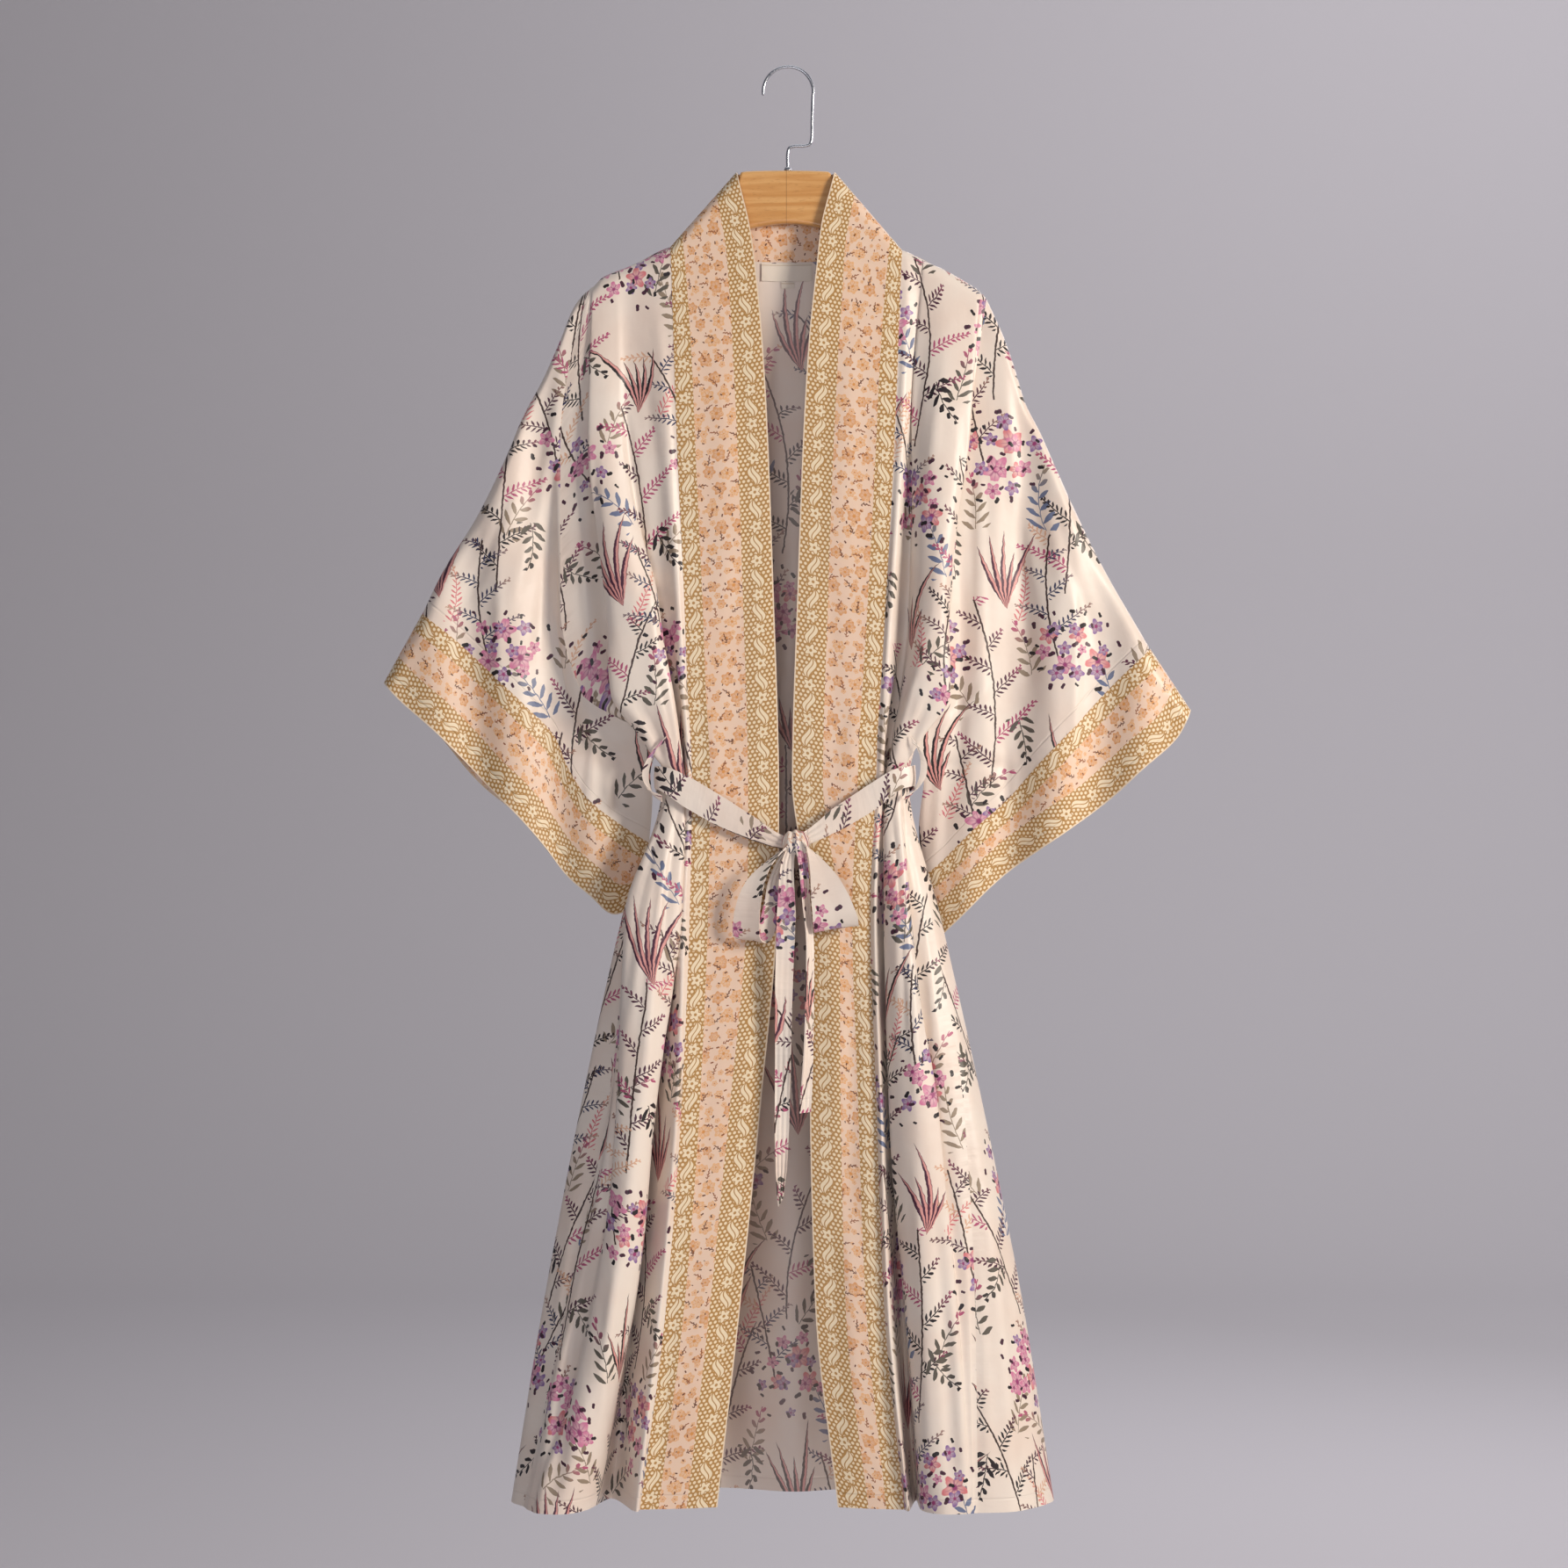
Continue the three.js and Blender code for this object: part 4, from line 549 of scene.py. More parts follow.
def panel(table, before=None, after=None):
    """Grid of a panel, columns by rows: Catmull-Rom across the fold lines. Below the underarm it
    runs on into the neighbouring panel's fold line at its side seams."""
    lines = np.stack([fold_line(row, row_heights(row[1])) for row in table])
    ends = [2 * lines[0] - lines[1], 2 * lines[-1] - lines[-2]]
    for end, neighbour in enumerate((before, after)):
        if neighbour:
            ends[end][UNDERARM_ROW:] = fold_line(neighbour, lines[0][UNDERARM_ROW:, 2])
    chain = np.concatenate([ends[0][None], lines, ends[1][None]])
    columns = []
    for step in range((len(table) - 1) * SPLITS + 1):
        i = min(step // SPLITS, len(table) - 2)
        column = catmull(*chain[i:i + 4], step / SPLITS - i)
        if table[i][2] and table[i + 1][2]:
            column[0, 1] = 0
        columns.append(column)
    return np.stack(columns)


def lengths(grid, axis):
    """Distance along a grid or a path from its first column, row or point."""
    gap = np.linalg.norm(np.diff(grid, axis=axis), axis=-1)
    first = np.zeros_like(np.take(gap, [0], axis=axis))
    return np.cumsum(np.concatenate([first, gap], axis=axis), axis=axis)


def sampled(values, knots, at):
    """Each column of values, given at its knots, read at other places on straight lines."""
    return np.stack([np.interp(at, knots, column) for column in np.transpose(values)], axis=1)


def spline(rows, count):
    """Count points at equal arc length on the centripetal Catmull-Rom curve through the rows."""
    points = np.asarray(rows, float)
    points = np.vstack([2 * points[0] - points[1], points, 2 * points[-1] - points[-2]])
    chord = np.linalg.norm(np.diff(points, axis=0), axis=1) ** 0.5
    t = np.linspace(0, 1, SPLINE_STEPS, endpoint=False)[:, None]
    parts = []
    for k in range(len(points) - 3):
        a, b, c, d = points[k:k + 4]
        ab, bc, cd = chord[k:k + 3]
        start = ((b - a) / ab - (c - a) / (ab + bc) + (c - b) / bc) * bc
        end = ((c - b) / bc - (d - b) / (bc + cd) + (d - c) / cd) * bc
        parts.append(b + start * t + (3 * (c - b) - 2 * start - end) * t**2
                     + (2 * (b - c) + start + end) * t**3)
    dense = np.vstack(parts + [points[-2:-1]])
    length = lengths(dense, 0)
    return sampled(dense, length, np.linspace(0, length[-1], count))


def soft_step(x, low, high):
    """0 below low, 1 above high, and a smooth cubic between them."""
    t = np.clip((x - low) / (high - low), 0, 1)
    return t * t * (3 - 2 * t)


def normals_of(grid, closed=False):
    """Unit normals of a grid: the cross product of its differences along and down."""
    if closed:
        along = np.roll(grid, -1, axis=0) - np.roll(grid, 1, axis=0)
    else:
        along = np.gradient(grid, axis=0)
    cross = np.cross(along, np.gradient(grid, axis=1))
    length = np.linalg.norm(cross, axis=-1, keepdims=True)
    return cross / np.where(length > 1e-9, length, 1)


def creased(name, grid, outward, closed=False, depth=1.0):
    """A grid moved along its outward normals by its creases. Across a crease the profile is
    (1 - q * q) * exp(-q * q) with q the distance over the half-width, a ridge with soft troughs
    at its sides. It fades in and out along its length, and to nothing at the sewn edges."""
    x, z = grid[..., 0], grid[..., 2]
    shift = np.zeros(x.shape)
    for x0, z0, x1, z1, bow, width, out in CREASES[name]:
        dx, dz = x1 - x0, z1 - z0
        length = math.hypot(dx, dz)
        along = ((x - x0) * dx + (z - z0) * dz) / length**2
        across = ((x - x0) * dz - (z - z0) * dx) / length
        t = np.clip(along, 0, 1)
        q = (across + 4 * bow * t * (1 - t)) / (width * (0.75 + 0.5 * t))
        ends = soft_step(along, 0, CREASE_START) * (1 - soft_step(along, CREASE_END, 1.0))
        shift += out * ends * (1 - q**2) * np.exp(-q**2)
    if not closed:
        side = lengths(grid, 0)
        shift *= soft_step(np.minimum(side, side[-1] - side), 0, CREASE_SEWN)
    return grid + normals_of(grid, closed) * (outward * depth * shift)[..., None]


# Shape of each group of pieces

def opening_edge(side, seam_z, crest_z):
    """The neckband's free edge beside each point of its seam. It starts level with the back of
    the neck and comes level with the seam at the chest."""
    low = crest_z - SHOULDER_ROLL
    progress = np.clip((low - seam_z) / (low - BAND_LEVEL_Z), 0, 1)
    z = seam_z + (OPENING_EDGE[0][0] - crest_z) * (1 - progress) ** 1.2
    knots = [-row[0] for row in OPENING_EDGE]
    x = monotone(knots, [row[1 if side == "left" else 2] for row in OPENING_EDGE], -z)
    drop = (OPENING_EDGE[0][0] - z) / (OPENING_EDGE[0][0] - OPENING_EDGE[1][0])
    rolled = OPENING_EDGE[1][3] * np.sqrt(1 - (1 - np.clip(drop, 0, 1)) ** 2)
    level = monotone(knots, [row[3] for row in OPENING_EDGE], -z)
    return np.stack([x, np.where(drop < 1, rolled, level), z], axis=-1)


def band_grid(side, front, back):
    """Neckband half, across by along: straight lines from its seam to its free edge, with a
    slight crown. Behind the neck the free edge follows a rounded box round the wood."""
    corner = LEFT_CORNER if side == "left" else RIGHT_CORNER
    step = int(math.copysign(1, corner - CENTRE_BACK))
    count = abs(corner - CENTRE_BACK) * SPLITS
    share = np.arange(count) / count
    behind = back[CENTRE_BACK * SPLITS + step * np.arange(count), 0]
    turn = np.pi / 2 * share
    crest_x = OPENING_EDGE[0][1 if side == "left" else 2]
    edge = np.stack([crest_x * np.cbrt(np.sin(turn)), BAND_BACK_Y * np.cbrt(np.cos(turn)),
                     BAND_BACK_TOP_Z + (OPENING_EDGE[0][0] - BAND_BACK_TOP_Z) * share], axis=-1)
    seam = np.concatenate([behind, front[0]])
    top = front[0, 0, 2]
    free = np.concatenate([edge, opening_edge(side, front[0, :, 2], top)])
    crown = np.clip((top - front[0, :, 2]) / BAND_CROWN_REACH, 0, 1)
    crown = np.concatenate([np.zeros(count), crown])
    across = np.linspace(0, 1, BAND_COLUMNS + 1)[:, None]
    grid = seam * (1 - across[..., None]) + free * across[..., None]
    grid[..., 1] -= BAND_CROWN * crown * np.sin(np.pi * across)
    return grid


def roundness(distance, roll):
    """Sine of a quarter turn over the roll's width: 0 on the fold and 1 past the roll."""
    return np.sqrt(np.clip(1 - (1 - np.minimum(distance / roll, 1)) ** 2, 0, 1))


def sleeve_rings(side, front_seam, back_seam):
    """Sleeve and cuff as closed rings, round by along. A layer is a Coons patch between the
    armhole, the cuff seam, the top fold and the lower fold, and plumb folds move both layers."""
    shape, folds = SLEEVES[side], SLEEVE_FOLDS[side]
    angle = np.linspace(0, np.pi / 2, ROLL_ROWS, endpoint=False)
    start = CUFF_TOP_ROLL / SLEEVE_WIDTH
    w = np.concatenate([start * (1 - np.cos(angle)), np.linspace(start, 1, UPPER_ROWS + 1)])
    flat = [[(row[0], 0, row[1]) if len(row) == 2 else row for row in shape[key]]
            for key in ("top", "seam", "hem", "under")]
    top, under = spline(flat[0], SLEEVE_ROWS + 1), spline(flat[3], SLEEVE_ROWS + 1)
    fine = np.linspace(0, 1, 400)

    def cuff_point(rows, face, drop):
        curve = spline(rows, len(fine))
        p = sampled(curve, fine, w)
        loft = SLEEVE_LOFT * roundness(w * SLEEVE_WIDTH, CUFF_TOP_ROLL)
        loft *= roundness((1 - w) * SLEEVE_WIDTH, CUFF_LOW_ROLL)
        p[:, 1] = CUFF_LOW_Y * w**2 + face * loft * (1 - SLEEVE_LOFT_LOSS * w)
        if face > 0:
            p[:, 2] -= drop * np.exp(-(((w - BACK_HEM_AT) / BACK_HEM_SPREAD) ** 2))
        return p

    def plumb(p, ease):
        edge = roundness(w * SLEEVE_WIDTH, FOLD_FADE_TOP)
        edge *= roundness((1 - w) * SLEEVE_WIDTH, FOLD_FADE_LOW)
        for x, width, out in folds:
            lean = x + (p[..., 2] - LEAN_Z) * FOLD_LEAN * np.sign(x)
            p[..., 1] += out * ease * edge[:, None] * np.exp(-(((p[..., 0] - lean) / width) ** 2))
        return p

    sleeves, cuffs = [], []
    t = np.linspace(0, 1, SLEEVE_ROWS + 1)[None, :, None]
    v = w[:, None, None]
    for face, armhole in ((-1, front_seam), (1, back_seam)):
        cuff = cuff_point(flat[1], face, 0)
        p = (armhole[:, None] * (1 - t) + cuff[:, None] * t + top * (1 - v) + under * v
             - top[0] * (1 - v) * (1 - t) - under[0] * v * (1 - t)
             - top[-1] * (1 - v) * t - under[-1] * v * t)
        sleeves.append(plumb(p, np.sin(np.pi * np.minimum(t[..., 0], 0.5))))
        hem = cuff_point(flat[2], face, BACK_HEM_DROP[side])
        k = np.linspace(0, 1, CUFF_ROWS + 1)[None, :, None]
        cuffs.append(plumb(cuff[:, None] * (1 - k) + hem[:, None] * k, 1.0))
    return [np.concatenate([front, back[-2:0:-1]]) for front, back in (sleeves, cuffs)]


def ribbon(rows, count, pleats=0.0, curl=0.0):
    """Ribbon grid, across by along, on the spline through the rows with half-widths dx, dy, dz.
    Pleats is the height of three lengthwise pleats where the ribbon is narrow, and curl lifts
    its middle."""
    rows = np.asarray(rows, float)
    middle = spline(rows[:, :3], count)
    chord = lengths(rows[:, :3], 0)
    half = sampled(rows[:, 3:], chord, np.linspace(0, chord[-1], count))
    s = np.linspace(-1, 1, RIBBON_COLUMNS + 1)[:, None]
    grid = middle + half * s[..., None]
    widest = np.linalg.norm(half, axis=1)
    narrow = 1 - soft_step(widest, *PLEAT_HALF_WIDTHS)
    lift = pleats * narrow * np.cos(3 * np.pi * s + 0.6) + curl * (1 - s**2)
    return grid + normals_of(grid) * lift[..., None]


def tube(path, radius):
    """Round wire along a path of points, with half-round ends: the frame at each point is its
    tangent, +Y and their cross product, because the path lies in a plane of constant Y."""
    tangent = np.gradient(path, axis=0)
    tangent /= np.linalg.norm(tangent, axis=1, keepdims=True)
    out = np.cross(tangent, [0, 1, 0])
    end = np.linspace(0, np.pi / 2, WIRE_END_STEPS)
    scale = np.concatenate([np.sin(end), np.ones(len(path) - 2), np.sin(end[::-1])])
    slide = np.concatenate([-np.cos(end), np.zeros(len(path) - 2), np.cos(end[::-1])]) * radius
    index = np.concatenate([np.zeros(WIRE_END_STEPS, int), np.arange(1, len(path) - 1),
                            np.full(WIRE_END_STEPS, len(path) - 1)])
    centre = path[index] + tangent[index] * slide[:, None]
    a = np.linspace(0, 2 * np.pi, WIRE_SIDES, endpoint=False)[:, None, None]
    ring = np.cos(a) * out[index] - np.sin(a) * np.array([0.0, 1.0, 0.0])
    return centre + ring * (radius * scale)[:, None]


# Meshes

def mesh_object(name, points, faces, material):
    """Object at the origin from points in millimetres and a list of faces."""
    mesh = bpy.data.meshes.new(name)
    mesh.from_pydata((np.asarray(points).reshape(-1, 3) * MM).tolist(), [], faces)
    mesh.materials.append(material)
    mesh.shade_smooth()
    mesh.set_sharp_from_angle(angle=math.radians(60))
    made = bpy.data.objects.new(name, mesh)
    bpy.context.scene.collection.objects.link(made)
    return made


def grid_faces(columns, rows, closed):
    """Quads of a grid as corner indices i, j over unwrapped columns."""
    i, j = np.meshgrid(np.arange(columns if closed else columns - 1), np.arange(rows - 1),
                       indexing="ij")
    return [(a.ravel(), b.ravel()) for a, b in ((i, j), (i + 1, j), (i + 1, j + 1), (i, j + 1))]


def cloth_data(made, maps, values):
    """Give a mesh the map of its cloth, one place for each face corner, and a number for each
    point under each label: whether it's on the wrong side, and its distances to edges."""
    made.data.uv_layers.new(name="cloth").data.foreach_set("uv", np.concatenate(maps).ravel())
    for label, numbers in values.items():
        layer = made.data.attributes.new(label, "FLOAT", "POINT")
        layer.data.foreach_set("value", numbers.ravel())


def cloth(name, grid, material, thickness, outward=1, closed=False, across_from=0, along_row=0,
          double=False, side=1, start=(0, 0), laid=False):
    """Thin closed shell: the grid moved half a thickness each way along its normals, joined at
    its borders. The UV map is the cloth's own surface in metres: across is the distance along
    each row from the column across_from, along is the distance down from the row along_row,
    both from a start. A laid piece uses x and z. Point attributes give the wrong side (reverse)
    and the distances to the nearest side edge, the top and the lower edge in millimetres."""
    columns, rows = grid.shape[:2]
    normal = normals_of(grid, closed)
    loop = np.concatenate([grid, grid[:1]]) if closed else grid
    across, down = lengths(loop, 0), lengths(loop, 1)
    uv = np.stack([side * (across - across[across_from]),
                   down[:, along_row][:, None] - down], axis=-1)
    uv = ((loop[..., ::2] if laid else uv) + start) * MM
    layers = [grid + normal * thickness / 2, grid - normal * thickness / 2]
    corner = grid_faces(columns, rows, closed)
    size = columns * rows
    quads, maps = [], []
    for layer, order in ((0, (0, 1, 2, 3)), (1, (0, 3, 2, 1))):
        quads.append(np.stack([layer * size + (corner[k][0] % columns) * rows + corner[k][1]
                               for k in order], axis=1))
        maps.append(np.stack([uv[corner[k]] for k in order], axis=1))
    borders = [(np.arange(columns if closed else columns - 1), row, row == 0)
               for row in (0, rows - 1)]
    for i, row, first in borders:
        near, far = (i % columns) * rows + row, ((i + 1) % columns) * rows + row
        order = (near, near + size, far + size, far) if first else (
            near, far, far + size, near + size)
        spot = (uv[i, row], uv[i, row], uv[i + 1, row], uv[i + 1, row])
        quads.append(np.stack(order, axis=1))
        maps.append(np.stack(spot if first else (spot[0], spot[2], spot[2], spot[0]), axis=1))
    if not closed:
        j = np.arange(rows - 1)
        for column, first in ((0, True), (columns - 1, False)):
            near, far = column * rows + j, column * rows + j + 1
            order = (near, far, far + size, near + size) if first else (
                near, near + size, far + size, far)
            spot = (uv[column, j], uv[column, j + 1], uv[column, j + 1], uv[column, j])
            quads.append(np.stack(order, axis=1))
            maps.append(np.stack(spot if first else (spot[0], spot[0], spot[1], spot[1]), axis=1))
    made = mesh_object(name, np.stack(layers), np.concatenate(quads).tolist(), material)
    wide, drop = across[:columns], down[:columns]
    near, far = (np.full(wide.shape, NO_EDGE),) * 2 if closed else (wide, wide[-1] - wide)
    values = {"reverse": np.zeros((2, columns, rows))}
    if not double:
        values["reverse"][1 if outward > 0 else 0] = 1
    for label, distance in (("near_mm", near), ("far_mm", far), ("top_mm", drop),
                            ("hem_mm", drop[:, -1:] - drop)):
        values[label] = np.stack([distance, distance])
    cloth_data(made, maps, values)
    return made


def capped(name, rings, material):
    """Closed solid from rings, round by along, whose first and last rings are single points."""
    columns, rows = rings.shape[:2]
    points = np.concatenate([rings[:1, 0], rings[:, 1:-1].reshape(-1, 3), rings[:1, -1]])
    inner = rows - 2
    corner = grid_faces(columns, inner, True)
    quads = np.stack([1 + (i % columns) * inner + j for i, j in corner], axis=1)
    here = np.arange(columns)
    there = (here + 1) % columns
    start = np.stack([np.zeros(columns, int), 1 + there * inner, 1 + here * inner], axis=1)
    last = np.full(columns, len(points) - 1)
    end = np.stack([last, here * inner + inner, there * inner + inner], axis=1)
    loop = np.concatenate([rings, rings[:1]])
    uv = np.stack([lengths(loop, 0), lengths(loop, 1)], axis=-1) * MM
    maps = [np.stack([uv[i, j + 1] for i, j in corner], axis=1).reshape(-1, 2),
            np.stack([uv[here, 0], uv[here + 1, 1], uv[here, 1]], axis=1).reshape(-1, 2),
            np.stack([uv[here, -1], uv[here, -2], uv[here + 1, -2]], axis=1).reshape(-1, 2)]
    made = mesh_object(name, points, quads.tolist() + start.tolist() + end.tolist(), material)
    values = {"reverse": np.zeros(len(points))}
    for label in ("near_mm", "far_mm", "top_mm", "hem_mm"):
        values[label] = np.full(len(points), NO_EDGE)
    cloth_data(made, maps, values)
    return made


def hook_path():
    """Middle line of the hook's wire: an arc over the rail, the open side's straight drop, a
    step back under the arc and the shank down into the wood."""
    turn = np.radians(np.arange(185, -11, -5))
    centre = -(HOOK_RADIUS - WIRE_RADIUS)
    rows = [(HOOK_X + HOOK_RADIUS * math.cos(a), 0, centre + HOOK_RADIUS * math.sin(a))
            for a in turn]
    rows += [(22.6, 0, -48), (22.2, 0, -64), (20.6, 0, -69), (16, 0, -70.6), (7, 0, -70.8),
             (2.2, 0, -72.4), (SHANK_X, 0, -77), (SHANK_X, 0, -92),
             (SHANK_X, 0, WOOD_TOP_Z - SHANK_DEPTH)]
    return spline(rows, 220)


def collar_rings():
    """Collar where the hook enters the wood: a turned cone with rounded rims, its radii and
    their heights over the wood's top, from its foot up."""
    radius = [0, 3.3, 3.6, 3.55, 3.3, 2.9, 2.65, 2.4, 2.0, 0]
    height = np.array([0.3, 0.3, 0.55, 0.9, 1.6, 2.5, 3.0, 3.25, 3.3, 3.3])
    a = np.linspace(0, 2 * np.pi, TURNED_SIDES, endpoint=False)[:, None]
    rings = [SHANK_X + np.cos(a) * radius, np.sin(a) * radius,
             np.broadcast_to(WOOD_TOP_Z + height, (TURNED_SIDES, len(height)))]
    return np.stack(rings, axis=-1)


def bow_knot(material):
    """Knot of the belt: an ellipsoid round the X axis, squeezed where the belt enters, with
    slanting pleats whose height grows towards its middle. The radius is 1 + 0.075 * the
    pleats' cosine + 0.04 * a slow wave round it."""
    a = np.linspace(0, 2 * np.pi, 72, endpoint=False)[:, None]
    along = np.linspace(-np.pi / 2, np.pi / 2, 49)
    x = np.sin(along)
    pleat = np.cos(2 * np.pi * (1.9 * x + 0.22 * np.sin(a + 0.7)) + 0.9 * np.cos(2 * a))
    swell = 1 + (0.075 * pleat + 0.04 * np.sin(3 * a + 1.1)) * np.cos(along)
    ring = np.cos(along) ** 0.8 * swell
    length, depth, height = KNOT_SIZE
    rings = np.stack([KNOT[0] + np.broadcast_to(x * length / 2, ring.shape),
                      KNOT[1] + np.cos(a) * ring * depth / 2 * KNOT_FULL,
                      KNOT[2] + np.sin(a) * ring * height / 2 * KNOT_FULL], axis=-1)
    return capped("bow_knot_cloth", rings, material)


def back_patch(first, last, drop, height):
    """Grid of a label on the inside of the back, between two places along its fold lines."""
    fall = drop + np.linspace(0, height, 25)
    lines = [fold_line(row, row[1] - fall) for row in BACK]
    columns = []
    for u in np.linspace(first, last, 41):
        k = int(u)
        columns.append(catmull(*lines[k - 1:k + 3], u - k) - (0, LABEL_OUT, 0))
    return np.stack(columns)


def hanger_wood(material):
    """Hanger body: the outline, its corners cut three times at a quarter and three quarters of
    each side, stepped evenly, with its edges rounded by a quarter circle of WOOD_EDGE. Each
    step's direction runs between its neighbours and is smoothed twice by weights 1, 2 and 1."""
    outline = np.array(WOOD_OUTLINE, float)
    for _cut in range(3):
        after = np.roll(outline, -1, axis=0)
        outline = np.stack([outline * 0.75 + after * 0.25, outline * 0.25 + after * 0.75],
                           axis=1).reshape(-1, 2)
    loop = np.vstack([outline, outline[:1]])
    length = lengths(loop, 0)
    outline = sampled(loop, length, np.linspace(0, length[-1], WOOD_STEPS, endpoint=False))
    edge = np.roll(outline, -1, axis=0) - np.roll(outline, 1, axis=0)
    for _pass in range(2):
        edge = np.roll(edge, 1, axis=0) + 2 * edge + np.roll(edge, -1, axis=0)
    edge /= np.linalg.norm(edge, axis=1, keepdims=True)
    inward = np.stack([edge[:, 1], -edge[:, 0]], axis=1)
    turn = np.radians(np.linspace(-90, 90, 17))
    face = [WOOD_EDGE + WOOD_FACE_INSET]
    inset = np.concatenate([face, WOOD_EDGE * (1 - np.cos(turn)), face])
    reach = WOOD_THICK / 2
    y = (reach - WOOD_EDGE) * np.sign(turn) + WOOD_EDGE * np.sin(turn)
    y = np.concatenate([[-reach], y, [reach]])
    plan = outline[:, None] + inward[:, None] * inset[:, None]
    grid = np.stack([plan[..., 0], np.broadcast_to(y, plan.shape[:2]), plan[..., 1]], axis=-1)
    columns, rows = grid.shape[:2]
    corner = grid_faces(columns, rows, True)
    faces = np.stack([(i % columns) * rows + j for i, j in corner], axis=1).tolist()
    faces.append((np.arange(columns) * rows)[::-1].tolist())
    faces.append((np.arange(columns) * rows + rows - 1).tolist())
    return mesh_object("hanger_wood_body", grid, faces, material)


# Materials

def linear(text):
    """Linear RGBA of an sRGB hex colour."""
    value = np.array([int(text[k:k + 2], 16) for k in (1, 3, 5)]) / 255
    value = np.where(value <= 0.04045, value / 12.92, ((value + 0.055) / 1.055) ** 2.4)
    return (*value.tolist(), 1.0)


def node(tree, kind, *inputs, values=None, output=0, **settings):
    """Add a node with its settings, link or set its inputs, and return an output, or all of
    them for None. The kind's second word is the choice in the node's menu. Numbered sockets are
    counted among those which that choice leaves enabled."""
    kind, *choice = kind.split()
    made = tree.nodes.new("ShaderNode" + kind)
    for key, value in ({MENUS[kind]: choice[0]} if choice else settings).items():
        setattr(made, key, value)
    wanted = dict(zip([socket for socket in made.inputs if socket.enabled], inputs))
    wanted.update({made.inputs[key]: value for key, value in (values or {}).items()})
    for socket, value in wanted.items():
        if isinstance(value, bpy.types.NodeSocket):
            tree.links.new(value, socket)
        elif value is not None:
            socket.default_value = value
    if output is None:
        return made.outputs
    if isinstance(output, str):
        return made.outputs[output]
    return [socket for socket in made.outputs if socket.enabled][output]


def new_material(name):
    """Empty material with its tree."""
    material = bpy.data.materials.new(name)
    material.use_nodes = True
    material.node_tree.nodes.clear()
    return material, material.node_tree


def finish_material(tree, shader):
    """Link a shader to the surface of a new output node."""
    end = tree.nodes.new("ShaderNodeOutputMaterial")
    tree.links.new(shader, end.inputs["Surface"])


def cloth_place(tree):
    """Place on the cloth in millimetres, from the piece's own UV map."""
    flat = node(tree, "UVMap", uv_map="cloth")
    return node(tree, "VectorMath SCALE", flat, values={"Scale": 1 / MM})


def flat_length(tree, x, y):
    """Length of the vector x, y."""
    return node(tree, "VectorMath LENGTH", node(tree, "CombineXYZ", x, y, 0.0))


def cells(tree, place, cell):
    """Number of the cell that a place is in and the place from that cell's middle. Every other
    row of cells stands half a cell along."""
    grid = node(tree, "SeparateXYZ", node(tree, "VectorMath DIVIDE", place, cell), output=None)
    row = node(tree, "Math FLOOR", grid[1])
    odd = node(tree, "Math FLOORED_MODULO", row, 2.0)
    column = node(tree, "Math MULTIPLY_ADD", odd, 0.5, grid[0])
    number = node(tree, "CombineXYZ", node(tree, "Math FLOOR", column), row, 0.0)
    local = node(tree, "VectorMath FRACTION", node(tree, "CombineXYZ", column, grid[1], 0.5))
    local = node(tree, "VectorMath SUBTRACT", local, (0.5, 0.5, 0.5))
    return number, node(tree, "VectorMath MULTIPLY", local, cell)


def motif_group(name):
    """Node group of one kind of motif, laid over Under. Each cell's white noise moves its motif
    off the cell's middle, turns it and picks its ink. Gives the tree, its inputs, x and y on the
    motif in millimetres, the ink, three random numbers and the cell's middle."""
    tree = bpy.data.node_groups.new(name, "ShaderNodeTree")
    for kind, labels in (("Color", ("Under", "Ink", "Other ink", "Tip")),
                         ("Vector", ("Cloth", "Cell", "Shift")),
                         ("Float", ("Turn", "Spread", "Stray", "Size", "Leaf", "Width", "Pitch"))):
        for label in labels:
            tree.interface.new_socket(label, in_out="INPUT", socket_type="NodeSocket" + kind)
    tree.interface.new_socket("Colour", in_out="OUTPUT", socket_type="NodeSocketColor")
    given = tree.nodes.new("NodeGroupInput").outputs
    place = node(tree, "VectorMath SUBTRACT", given["Cloth"], given["Shift"])
    number, local = cells(tree, place, given["Cell"])
    middle = node(tree, "VectorMath SUBTRACT", given["Cloth"], local)
    own = node(tree, "CombineXYZ", 0.0, 0.0, given["Size"])
    random = node(tree, "TexWhiteNoise", node(tree, "VectorMath ADD", number, own), output=None)
    stray = node(tree, "VectorMath SUBTRACT", random["Color"], (0.5, 0.5, 0.5))
    stray = node(tree, "VectorMath SCALE", stray, given["Stray"])
    local = node(tree, "VectorMath SUBTRACT", local, stray)
    chance = node(tree, "Math SUBTRACT", random["Value"], 0.5)
    turn = node(tree, "Math MULTIPLY_ADD", chance, given["Spread"], given["Turn"])
    turned = node(tree, "VectorRotate Z_AXIS", local, None, turn)
    x, y, _z = node(tree, "SeparateXYZ", turned, output=None)
    pick = node(tree, "SeparateColor", random["Color"], output=None)
    other = node(tree, "Math GREATER_THAN", pick[2], 0.5)
    ink = node(tree, "Mix RGBA", other, given["Ink"], given["Other ink"])
    return tree, given, x, y, ink, pick, middle


def close_group(tree, given, share, colour):
    """Lay a colour over Under by a share, as the motif group's output."""
    end = tree.nodes.new("NodeGroupOutput")
    tree.links.new(node(tree, "Mix RGBA", share, given["Under"], colour), end.inputs["Colour"])
    return tree


def within(tree, value, low, high):
    """1 where a value lies between two others."""
    return node(tree, "Math MULTIPLY", node(tree, "Math GREATER_THAN", value, low),
                node(tree, "Math LESS_THAN", value, high))


